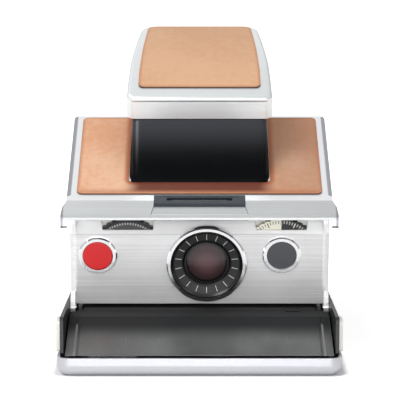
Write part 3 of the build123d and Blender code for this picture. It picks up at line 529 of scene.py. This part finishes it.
def ring_black(name):
    """The focus ring's face: satin black with eighteen pale marks and a glossy rim."""
    finish = Finish(name, IOR=1.5)
    here = finish.place(LENS)
    x, y, _ = finish.axes(here)
    radius = distance_out(x, y)
    across = angle_round(x, y).folded(math.radians(10)) * radius
    mark = across.fall(0.07, 0.15) * radius.between(*RING_MARKS, RING_MARK_SOFT)
    face = radius.rise(*RING_FACE_INNER) * radius.fall(*RING_FACE_OUTER)
    fine = finish.noise(here, 6.0, detail=3.0)
    ground = finish.blend(face, rgb(6, 6, 7), rgb(26, 26, 28))
    ground = finish.blend(fine * 0.5, ground, rgb(16, 16, 18))
    finish.set(
        Base_Color=finish.blend(mark * 0.92, ground, rgb(205, 206, 204)),
        Roughness=0.24 + face * 0.22 + fine * 0.06,
        Normal=finish.bump(fine + mark * 3, 0.000008),
    )
    return finish.material


def coated_glass(name, tint):
    """Dark lens glass with a brown-purple coating that fades to near black at its rim."""
    finish = Finish(name, IOR=1.55, Specular_IOR_Level=0.4, Coat_Weight=0.15, Coat_Roughness=0.05)
    here = finish.place(LENS)
    x, y, _ = finish.axes(here)
    radius = distance_out(x, y)
    cloud = finish.noise(here, 0.12, detail=2.0)
    inner = finish.blend(radius.rise(1.5, 6.8), rgb(*tint), rgb(*[v * 0.62 for v in tint]))
    finish.set(
        Base_Color=finish.blend(radius.rise(6.6, 7.5) * 0.8, inner, rgb(18, 14, 15)),
        Roughness=0.03 + cloud * 0.03,
    )
    return finish.material


def wheel_axes(finish, here, wheel_x):
    """Radius and angle round the middle of a thumb wheel, and the distance right of it."""
    x, y, _ = finish.axes(here)
    right = x - wheel_x
    up = y - WHEEL_Y
    return distance_out(right, up), angle_round(right, up), right


def exposure_wheel_face(name):
    """Half light, half dark disc with radial marks in the other tone, each fifth one longer."""
    finish = Finish(name, IOR=1.5)
    here = finish.place(LENS)
    radius, angle, right = wheel_axes(finish, here, EXPOSURE_WHEEL_X)
    step = math.radians(4.5)
    short_marks = radius.between(*SHORT_MARKS, WHEEL_MARK_SOFT) * angle.folded(step / 2).fall(0.010, 0.022)
    long_marks = radius.between(*LONG_MARKS, WHEEL_MARK_SOFT) * angle.folded(step * 2.5).fall(0.010, 0.020)
    ink = (short_marks * 0.7).largest(long_marks)
    side = right.rise(-0.06, 0.06)
    ground = finish.blend(side, rgb(226, 224, 208), rgb(30, 30, 31))
    marks = finish.blend(side, rgb(44, 44, 42), rgb(205, 205, 198))
    speck = finish.noise(here, 3.0, detail=3.0)
    finish.set(
        Base_Color=finish.blend(ink, ground, marks),
        Roughness=0.38 + speck * 0.1,
        Normal=finish.bump(speck, 0.00001),
    )
    return finish.material


def wheel_black(name):
    """Grey face with a row of short pale marks inside a black rim; the marks are painted highlights for the
    glints on the wheel's teeth.
    """
    finish = Finish(name, IOR=1.5)
    here = finish.place(LENS)
    radius, angle, _ = wheel_axes(finish, here, FOCUS_WHEEL_X)
    # Painted highlights: pale marks for the glints on the teeth.
    mark = angle.folded(math.radians(2.25)).fall(0.012, 0.024)
    mark = mark * radius.between(*FOCUS_TEETH_GLINTS, WHEEL_MARK_SOFT)
    rim = radius.rise(*FOCUS_RIM)
    fine = finish.noise(here, 5.0, detail=3.0)
    ground = finish.blend(fine, rgb(52, 52, 54), rgb(70, 70, 72))
    ground = finish.blend(rim, ground, rgb(16, 17, 22))
    finish.set(
        Base_Color=finish.blend(mark, ground, rgb(168, 168, 164)),
        Roughness=0.36 - rim * 0.1 + fine * 0.1,
        Normal=finish.bump(fine, 0.00001),
    )
    return finish.material


# Painted light and shade: these parts share one chrome plating, and their tints differ to match how
# brightly each is lit.
satin_base = brushed_metal("satin_chrome_base", None, (197, 198, 203), 0.32, satin=0.65, across=(1.6, 3.4))
satin_cover = brushed_metal(
    "satin_chrome_front_cover",
    COVER,
    (200, 202, 203),
    satin=0.85,
    # Painted highlight: the cover's top face from y 0.2 to 70 is painted brighter.
    painted_highlight_band=(0.2, 70, (236, 237, 239)),
    edge=51.2,
)
satin_cap = brushed_metal("satin_chrome_cap", COVER, (230, 233, 234), 0.36, satin=0.85, contrast=0.03)
satin_rear = brushed_metal("satin_chrome_rear_cover", REAR, (212, 214, 216))
satin_face = brushed_metal(
    "satin_chrome_housing",
    LENS,
    (231, 231, 232),
    satin=0.50,
    contrast=0.10,
    painted_highlight_above=11.9,
)
ring_chrome = polished_metal("polished_chrome")
pin_steel = polished_metal("pin_steel", (190, 191, 193), 0.22)
link_steel = polished_metal("link_steel", (70, 72, 75), 0.35)
roller_dark = moulded_plastic("roller_coating", (13, 13, 15), 0.5)
black_moulding = moulded_plastic("black_moulding", (20, 21, 24), 0.36)
socket_moulding = moulded_plastic("socket_moulding", (38, 46, 54), 0.34)
black_ring = ring_black("black_ring")
door_black = door_plastic("door_black")
film_case = moulded_plastic("film_case", (38, 39, 42), 0.5)
latch_pale = moulded_plastic("latch_pale", (244, 245, 237), 0.30)
red_gloss = moulded_plastic("red_button", (214, 22, 26), 0.32, grain=0.000006, coat=0.12)
meter_dark = moulded_plastic("meter_eye", (66, 67, 72), 0.30, grain=0.000004, coat=0.3)
gear_white = moulded_plastic("gear_white", (214, 213, 205), 0.4)
board_green = moulded_plastic("board_green", (20, 74, 44), 0.45)
coil_copper = polished_metal("coil_copper", (184, 115, 70), 0.3)
# The boot's paler upper part is painted sheen.
boot_black = soft_rubber("boot_rubber", (3, 4, 6), 0.34, (7.0, 15.5, (42, 43, 48)))
bellows_black = soft_rubber("bellows_rubber", (22, 22, 24), 0.5)
silvered = polished_metal("silvered_mirror", (225, 228, 232), 0.02)
lens_glass = coated_glass("lens_glass", (84, 60, 64))
viewer_glass = coated_glass("viewer_glass", (60, 62, 70))
exposure_face = exposure_wheel_face("exposure_wheel_face")
wheel_dark = wheel_black("focus_wheel_black")
# Painted light: the pale plates behind the wheel windows.
painted_light_liner = moulded_plastic("painted_light_liner", (236, 236, 233), 0.4)
contact_grey = moulded_plastic("contact_grey", (84, 84, 84), 0.35)
blade_black = moulded_plastic("blade_black", (20, 20, 20), 0.5)


def dress(finish, *names):
    """Gives CAD nodes one finish."""
    for name in names:
        slots = nodes[name].data.materials
        slots.clear()
        slots.append(finish)


dress(satin_base, "base_shell", "door_tray")
dress(satin_cover, "front_cover", "flash_socket_cover")
dress(satin_cap, "viewfinder_cap")
dress(satin_rear, "rear_cover", "apex_barrel")
dress(satin_face, "housing_shell", "housing_lugs")
dress(ring_chrome, "lens_ring", "button_bezel", "meter_bezel")
dress(pin_steel, "rear_hinge_pins", "housing_hinge_pins", "door_hinge_pin", "apex_hinge_pins", "brace_pin")
dress(pin_steel, "lower_link_pins", "upper_link_pins", "wheel_axles", "drive_motor")
dress(roller_dark, "roller_upper", "roller_lower")
dress(link_steel, "link_front", "link_rear", "support_brace")
dress(black_moulding, "chassis", "fresnel_carrier", "housing_back", "lens_barrel")
dress(socket_moulding, "flash_socket")
dress(black_moulding, "eyepiece_frame", "roller_brackets", "idler_bracket")
dress(black_ring, "focus_ring")
dress(door_black, "door_nose")
dress(film_case, "film_pack")
dress(latch_pale, "door_latch_left", "door_latch_right")
dress(red_gloss, "shutter_button")
dress(meter_dark, "meter_eye")
dress(gear_white, "idler_gear", "motor_pinion")
dress(board_green, "circuit_board")
dress(coil_copper, "shutter_solenoid")
dress(boot_black, "viewfinder_boot")
dress(bellows_black, "bellows")
dress(silvered, "taking_mirror", "viewfinder_mirror")
dress(lens_glass, "front_lens", "rear_lens")
dress(viewer_glass, "eyepiece_lens")
dress(exposure_face, "exposure_wheel")
dress(wheel_dark, "focus_wheel")
dress(blade_black, "shutter_blade_left", "shutter_blade_right")

# Half width, centre, length and corner of each panel, and of the notch for the boot.
FRONT_PANEL = (46.35, 32.35, 56.1, 2.2)
FRONT_NOTCH = (26.9, 42.2, 60.0, 2.3)
REAR_PANEL = (46.35, 48.93, 92.67, 2.2)
CAP_PANEL = (23.6, 66.55, 54.1, 2.4)
front_leather = tan_leather(
    "tan_leather_front",
    COVER,
    FRONT_PANEL,
    FRONT_NOTCH,
    shade=0.5,
    light=(214, 172, 142),
)
rear_leather = tan_leather("tan_leather_rear", REAR, REAR_PANEL)
cap_leather = tan_leather(
    "tan_leather_cap",
    COVER,
    CAP_PANEL,
    taper=3.0,
    light=(200, 158, 124),
    deep=(190, 146, 111),
)
dress(front_leather, "front_leather")
dress(rear_leather, "rear_leather")
dress(cap_leather, "cap_leather")


# ---- modelling helpers ------------------------------------------------------
# Vertices closer than this are merged, and faces flatter than this are joined, in mm and degrees.
MERGE_WITHIN = 0.002
FLAT_WITHIN = 0.6
# A vertex this close to a level lies on it, in millimetres.
ON_LEVEL = 0.02
# Edges are rounded from this many degrees above the angle up to which they are shaded smooth.
ROUND_MARGIN = 3


def deselect():
    """In object mode, selects nothing."""
    for other in bpy.context.selected_objects:
        other.select_set(False)


def new_block(name, size, place=(0, 0, 0)):
    """A box of that size in millimetres, with its middle at place."""
    deselect()
    location = [value * MM for value in place]
    bpy.ops.mesh.primitive_cube_add(size=1, location=location, scale=[value * MM for value in size])
    piece = bpy.context.object
    piece.name = name
    bpy.ops.object.transform_apply(location=True, rotation=True, scale=True)
    return piece


def take(piece):
    """Makes piece the only selected object and the active one."""
    deselect()
    piece.select_set(True)
    bpy.context.view_layer.objects.active = piece


def pick(piece, wanted, kind="VERT"):
    """In edit mode, selects just the vertices, edges or faces for which wanted is true."""
    bpy.ops.mesh.select_mode(type=kind)
    bpy.ops.mesh.select_all(action="DESELECT")
    mesh = bmesh.from_edit_mesh(piece.data)
    chosen = {"VERT": mesh.verts, "EDGE": mesh.edges, "FACE": mesh.faces}[kind]
    for item in chosen:
        if wanted(item):
            item.select_set(True)
    bmesh.update_edit_mesh(piece.data)


def middle(item):
    """The middle of an edge or a face."""
    return sum((vertex.co for vertex in item.verts), Vector()) / len(item.verts)


def cuts(places, normal):
    """In edit mode, bisects the whole mesh by a plane at each place."""
    for place in places:
        bpy.ops.mesh.select_all(action="SELECT")
        bpy.ops.mesh.bisect(plane_co=place, plane_no=normal)


def shifted(matrix, x, y, z):
    """A frame moved by millimetres along its own axes."""
    return matrix @ Matrix.Translation(Vector((x, y, z)) * MM)


def set_down(piece, matrix):
    """Puts a piece that was modelled at the origin into its frame, and applies that."""
    take(piece)
    piece.matrix_world = matrix @ piece.matrix_world
    bpy.ops.object.transform_apply(location=True, rotation=True, scale=True)


def outfit(piece, finish, body, slot, *stands_for):
    """Gives a finished piece its material and body, and hides the CAD nodes that it stands for; slot is not
    used.
    """
    piece.data.materials.clear()
    piece.data.materials.append(finish)
    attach(piece, body)
    if stands_for:
        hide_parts(*stands_for)
    return piece


def modify(piece, name, kind, **settings):
    """Adds a modifier to a piece and applies it."""
    take(piece)
    modifier = piece.modifiers.new(name, kind)
    for key, value in settings.items():
        setattr(modifier, key, value)
    bpy.ops.object.modifier_apply(modifier=name)


def merged_copy(node, name):
    """The CAD node's mesh as one closed skin with its flat faces joined up."""
    piece = bpy.data.objects.new(name, nodes[node].data.copy())
    bpy.context.scene.collection.objects.link(piece)
    take(piece)
    bpy.ops.object.mode_set(mode="EDIT")
    bpy.ops.mesh.select_all(action="SELECT")
    bpy.ops.mesh.remove_doubles(threshold=MERGE_WITHIN * MM)
    bpy.ops.mesh.dissolve_limited(angle_limit=math.radians(FLAT_WITHIN))
    bpy.ops.object.mode_set(mode="OBJECT")
    return piece


def rounded_copy(node, width, body, slot, angle=25):
    """A copy of a CAD node that stands for it, with its edges rounded where they turn past angle."""
    piece = merged_copy(node, node + "_rounded")
    bpy.ops.object.shade_smooth_by_angle(angle=math.radians(angle))
    modify(
        piece,
        "edges",
        "BEVEL",
        width=width * MM,
        segments=2,
        limit_method="ANGLE",
        angle_limit=math.radians(angle + ROUND_MARGIN),
        use_clamp_overlap=True,
        miter_outer="MITER_ARC",
        harden_normals=True,
    )
    finish = nodes[node].data.materials[0]
    return outfit(piece, finish, body, slot, node)


# ---- viewfinder boot --------------------------------------------------------
BOOT_HALF = 26.05
BOOT_FRONT_FOOT = 12.7
BOOT_FRONT_TOP = 33.9
BOOT_REAR_FOOT = 60.5
BOOT_REAR_TOP = 66.0
BOOT_LOW = 0.15
BOOT_TOP = 15.65
BOOT_SKIN = 0.25
BOOT_FLANGE_HALF = 26.8
BOOT_CORNER = 3.0
# Where the sleeve is cut, for shaping its swelling front: distances from the middle and shares of the
# height.
BOOT_CUTS = (7.5, 15.0, 21.0)
BOOT_LEVELS = (0.04, 0.14, 0.28, 0.42, 0.56, 0.70, 0.84, 0.95)
# How far the front swells, and how deep a zone behind it moves along.
BOOT_SWELL = 1.7
BOOT_SWELL_DEPTH = 6.0


def make_boot():
    """A moulded rubber sleeve with round corners and a front that swells over its foot."""
    height = BOOT_TOP - BOOT_LOW
    centre = (BOOT_FRONT_FOOT + BOOT_REAR_FOOT) / 2
    piece = new_block(
        "viewfinder_boot_sleeve",
        (2 * BOOT_HALF, BOOT_REAR_FOOT - BOOT_FRONT_FOOT, height),
        (0, centre, BOOT_LOW + height / 2),
    )
    bpy.ops.object.mode_set(mode="EDIT")
    pick(piece, lambda face: abs(face.normal.z) > 0.9, "FACE")
    bpy.ops.mesh.delete(type="ONLY_FACE")
    top = (BOOT_TOP - 0.1) * MM
    pick(piece, lambda v: v.co.z > top and v.co.y < centre * MM)
    bpy.ops.transform.translate(value=(0, (BOOT_FRONT_TOP - BOOT_FRONT_FOOT) * MM, 0))
    pick(piece, lambda v: v.co.z > top and v.co.y > (centre + 5) * MM)
    bpy.ops.transform.translate(value=(0, (BOOT_REAR_TOP - BOOT_REAR_FOOT) * MM, 0))
    pick(piece, lambda e: abs(e.verts[0].co.z - e.verts[1].co.z) > height * MM / 2, "EDGE")
    bpy.ops.mesh.bevel(offset=BOOT_CORNER * MM, segments=5)
    pick(piece, lambda e: all(v.co.z < (BOOT_LOW + 0.01) * MM for v in e.verts), "EDGE")
    bpy.ops.mesh.extrude_region_move(TRANSFORM_OT_translate={"value": (0, 0, 0)})
    bpy.ops.transform.resize(value=(BOOT_FLANGE_HALF / BOOT_HALF, 1.0, 1))
    levels = [BOOT_LOW + height * share for share in BOOT_LEVELS]
    cuts([(0, 0, level * MM) for level in levels], (0, 0, 1))
    cuts([(side * x * MM, 0, 0) for side in (1, -1) for x in BOOT_CUTS], (1, 0, 0))
    run = (BOOT_FRONT_TOP - BOOT_FRONT_FOOT) / height
    for level in levels:
        share = (level - BOOT_LOW) / height
        front = (BOOT_FRONT_FOOT + run * (level - BOOT_LOW) + BOOT_SWELL_DEPTH) * MM
        pick(piece, lambda v: abs(v.co.z - level * MM) < ON_LEVEL * MM and v.co.y < front)
        swell = BOOT_SWELL * math.sin(math.pi * share**0.8)
        bpy.ops.transform.translate(value=(0, -swell * MM, 0))
    bpy.ops.object.mode_set(mode="OBJECT")
    modify(piece, "smooth", "SUBSURF", levels=2, render_levels=2, boundary_smooth="PRESERVE_CORNERS")
    modify(piece, "skin", "SOLIDIFY", thickness=BOOT_SKIN * MM, offset=-1)
    bpy.ops.object.shade_smooth()
    set_down(piece, COVER)
    outfit(piece, boot_black, "front_cover", "boot_rubber", "viewfinder_boot")
    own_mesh(piece)


make_boot()


# ---- bellows ----------------------------------------------------------------
PLEAT_PITCH = 4.6
PLEAT_DEPTH = 0.9
BELLOWS_HALF = 44.0


def make_bellows():
    """The rubber bag with moulded pleats along its two sides."""
    piece = merged_copy("bellows", "bellows_pleated")
    low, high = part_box("bellows")
    bpy.ops.object.mode_set(mode="EDIT")
    count = int((high[2] - low[2]) / MM / PLEAT_PITCH * 4)
    levels = [low[2] + PLEAT_PITCH / 4 * MM * (step + 1) for step in range(count - 1)]
    cuts([(0, 0, level) for level in levels], (0, 0, 1))
    for side in (1, -1):
        for step, level in enumerate(levels):
            if step % 4 == 3:
                continue
            share = 1.0 if step % 4 == 1 else 0.5
            skin = (BELLOWS_HALF - 0.1) * MM
            pick(piece, lambda v: abs(v.co.z - level) < ON_LEVEL * MM and v.co.x * side > skin)
            bpy.ops.transform.translate(value=(side * share * PLEAT_DEPTH * MM, 0, 0))
    bpy.ops.object.mode_set(mode="OBJECT")
    bpy.ops.object.shade_smooth_by_angle(angle=math.radians(50))
    outfit(piece, bellows_black, "root", "bellows_rubber", "bellows")
    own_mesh(piece)


make_bellows()


# ---- cap bead, flash contacts, wheel liners ---------------------------------
CAP_LIP = 33.5
CAP_LIP_TOP = 25.2
BEAD_RADIUS = 1.2
BEAD_WIDTH = 50.4
# Steps of the bead's round ends, as (how far out, how much smaller).
BEAD_END = ((0.7, 0.82), (0.5, 0.55), (0.2, 0.3))


def make_cap_bead():
    """The rounded bead that runs across the cap above its flat front."""
    deselect()
    bpy.ops.mesh.primitive_cylinder_add(
        vertices=16,
        radius=BEAD_RADIUS * MM,
        depth=BEAD_WIDTH * MM,
        rotation=(0, math.radians(90), 0),
    )
    piece = bpy.context.object
    piece.name = "cap_bead"
    bpy.ops.object.transform_apply(location=True, rotation=True, scale=True)
    bpy.ops.object.mode_set(mode="EDIT")
    for side in (1, -1):
        for grow, shrink in BEAD_END:
            pick(piece, lambda face: face.normal.x * side > 0.9, "FACE")
            bpy.ops.mesh.extrude_region_move(TRANSFORM_OT_translate={"value": (side * grow * MM, 0, 0)})
            bpy.ops.transform.resize(value=(1, shrink, shrink))
    bpy.ops.object.mode_set(mode="OBJECT")
    bpy.ops.object.shade_smooth_by_angle(angle=math.radians(60))
    set_down(piece, shifted(COVER, 0, CAP_LIP + 0.80, CAP_LIP_TOP - 1.0))
    outfit(piece, satin_cap, "viewfinder_cap", "chrome")


make_cap_bead()


CONTACT_BAR = (20.6, 0.8, 0.5)
CONTACTS = 10
CONTACT_PITCH = 2.0
CONTACT_WIDTH = 1.0
CONTACT_INSET = 0.12
FIRST_CONTACT = -9.0


def make_flash_contacts():
    """The dark bar in the flash socket with its row of contacts, the last one up to its end."""
    piece = new_block("flash_contact_bar", CONTACT_BAR)
    bpy.ops.object.mode_set(mode="EDIT")
    starts = [FIRST_CONTACT + CONTACT_PITCH * step for step in range(CONTACTS)]
    cuts([(x * MM, 0, 0) for x in starts], (1, 0, 0))
    cuts([((x + CONTACT_WIDTH) * MM, 0, 0) for x in starts[:-1]], (1, 0, 0))

    def is_contact(face):
        step = middle(face).x / MM - FIRST_CONTACT + CONTACT_WIDTH / 2
        return face.normal.z > 0.9 and round(step) % 2 == 1

    pick(piece, is_contact, "FACE")
    bpy.ops.mesh.inset(thickness=CONTACT_INSET * MM, depth=CONTACT_INSET * MM, use_individual=True)
    bpy.ops.object.mode_set(mode="OBJECT")
    modify(piece, "edges", "BEVEL", width=0.05 * MM, segments=2, limit_method="ANGLE")
    set_down(piece, shifted(COVER, 0, 0.75, -0.62))
    outfit(piece, contact_grey, "front_cover", "black_plastic")


make_flash_contacts()


# Painted light: pale plates that make the wheel windows look lit.
LINER = (22, 5.0, 0.3)
LINER_UP = 13.3
LINER_DEPTH = 4.75


def make_window_liners():
    """Pale plates behind the two thumb wheels, seen in the corners of their windows: painted light that
    makes the windows look lit.
    """
    piece = new_block("focus_window_liner", LINER)
    modify(piece, "edges", "BEVEL", width=0.08 * MM, segments=2, limit_method="ANGLE")
    other = bpy.data.objects.new("exposure_window_liner", piece.data.copy())
    bpy.context.scene.collection.objects.link(other)
    for liner, x in ((piece, FOCUS_WHEEL_X), (other, EXPOSURE_WHEEL_X)):
        set_down(liner, shifted(LENS, x, LINER_UP, -LINER_DEPTH))
        outfit(liner, painted_light_liner, "shutter_housing", "latch_plastic")


make_window_liners()


# ---- rounded edges ----------------------------------------------------------
# CAD node, width of the rounding in millimetres, body, slot, and an angle where it isn't 25.
ROUNDED = (
    ("viewfinder_cap", 0.35, "viewfinder_cap", "chrome"),
    ("front_cover", 0.35, "front_cover", "chrome", 12),
    ("flash_socket_cover", 0.20, "front_cover", "chrome"),
    ("flash_socket", 0.15, "front_cover", "black_plastic"),
    ("rear_cover", 0.30, "rear_cover", "chrome"),
    ("base_shell", 0.25, "root", "chrome"),
    ("door_tray", 0.25, "film_door", "chrome"),
    ("housing_shell", 0.45, "shutter_housing", "chrome"),
    ("door_latch_left", 0.30, "root", "latch_plastic"),
    ("door_latch_right", 0.30, "door_latch", "latch_plastic"),
    ("door_nose", 0.25, "film_door", "door_plastic"),
    ("chassis", 0.25, "root", "black_plastic"),
    ("front_leather", 0.16, "front_cover", "tan_leather"),
    ("rear_leather", 0.16, "rear_cover", "tan_leather"),
    ("cap_leather", 0.16, "viewfinder_cap", "tan_leather"),
)
for entry in ROUNDED:
    rounded_copy(*entry)


# ---- scene ------------------------------------------------------------------
# The studio camera's place in millimetres, and how far down it tilts in degrees.
CAMERA_AT = (0.18, -800.4, 152.0)
CAMERA_DOWN = 7
# Half width, middle, half length and corner of the object's footprint, in millimetres.
FOOTPRINT = (52, 0, 87, 5)
# How the floor brightens, as millimetres away from the footprint.
FLOOR_NEAR = (0.3, 3.5)
FLOOR_FAR = (20, 330)
FLOOR_NEAR_GLOW = 0.62
FLOOR_FAR_GLOW = 0.40
FLOOR_MIRRORED = 0.45
ROOM_LEVEL = 0.66
ROOM_OVERHEAD_GAIN = 0.34
ROOM_ZENITH_LOSS = 0.18
ROOM_FRONT_LOSS = 0.82
ROOM_RIGHT_LOSS = 0.3
AMBIENT = 0.52
# Name, place and target in metres, width and height in metres, and power in watts.
LAMPS = (
    ("key", (-0.75, -0.55, 1.05), (0, 0, 0.05), (0.7, 0.7), 10),
    ("fill", (0.9, -0.9, 0.7), (0, 0, 0.05), (0.8, 0.8), 2.5),
    ("front", (-0.1, -1.5, 0.22), (0, 0, 0.05), (1.2, 0.5), 9),
    ("low_front", (0, -0.62, 0.03), (0, -0.05, 0.05), (0.5, 0.04), 0.55),
)
scene = bpy.context.scene
scene.view_settings.view_transform = "Standard"


def make_camera():
    """A long lens in front of the object, tilted down at it."""
    data = bpy.data.cameras.new("studio_camera")
    data.lens = 180
    data.sensor_width = 36
    data.clip_end = 20
    camera = bpy.data.objects.new("studio_camera", data)
    camera.location = [value * MM for value in CAMERA_AT]
    camera.rotation_euler = (math.radians(90 - CAMERA_DOWN), 0, 0)
    scene.collection.objects.link(camera)
    scene.camera = camera


def make_floor():
    """Pale floor: it keeps the contact shadow near the object and is plain white further out."""
    deselect()
    bpy.ops.mesh.primitive_plane_add(size=14)
    floor = bpy.context.object
    floor.name = "studio_floor"
    finish = Finish("studio_floor", Roughness=0.9, Specular_IOR_Level=0.0)
    mirrored = finish.ray("Is Glossy Ray")
    seen = finish.ray("Is Camera Ray").largest(mirrored).largest(finish.ray("Is Transmission Ray"))
    x, y, _ = finish.axes(finish.place())
    away = rectangle_distance(x, y, *FOOTPRINT)
    glow = away.rise(*FLOOR_NEAR) * FLOOR_NEAR_GLOW + away.rise(*FLOOR_FAR) * FLOOR_FAR_GLOW
    finish.set(
        Base_Color=(0.80, 0.80, 0.80, 1),
        Emission_Color=(1, 1, 1, 1),
        Emission_Strength=seen * glow * (1 - mirrored * (1 - FLOOR_MIRRORED)),
    )
    floor.data.materials.append(finish.material)


def make_world():
    """A white room for the camera, and an even light of strength AMBIENT on what is matt.

    In reflections it is dim low in front, a little dim on the right, and bright overhead.
    """
    world = bpy.data.worlds.new("studio")
    world.use_nodes = True
    room = Pattern(world.node_tree)
    background = room.tree.nodes["Background"]
    background.inputs["Color"].default_value = (1, 1, 1, 1)
    direction = room.node("ShaderNodeTexCoord", output=0)
    x, y, z = room.axes(direction)
    overhead = ROOM_LEVEL + z.rise(0.10, 0.55) * ROOM_OVERHEAD_GAIN - z.rise(0.65, 1.0) * ROOM_ZENITH_LOSS
    dim_front = (0 - y).rise(0.15, 0.75) * z.fall(0.42, 0.80) * ROOM_FRONT_LOSS
    dim_right = x.rise(0.1, 0.6) * ROOM_RIGHT_LOSS
    strength = overhead * (1 - dim_front) * (1 - dim_right)
    strength = strength.largest(room.ray("Is Camera Ray"))
    ambient = room.ray("Is Diffuse Ray")
    strength = strength * (1 - ambient) + ambient * AMBIENT
    room.feed(background.inputs["Strength"], strength)
    scene.world = world


def make_lamp(name, place, target, size, power):
    """A rectangular lamp that faces its target."""
    data = bpy.data.lights.new(name, "AREA")
    data.shape = "RECTANGLE"
    data.size, data.size_y = size
    data.energy = power
    lamp = bpy.data.objects.new(name, data)
    lamp.location = place
    direction = Vector(target) - Vector(place)
    lamp.rotation_euler = direction.to_track_quat("-Z", "Y").to_euler()
    scene.collection.objects.link(lamp)


make_camera()
make_floor()
make_world()
for lamp in LAMPS:
    make_lamp(*lamp)
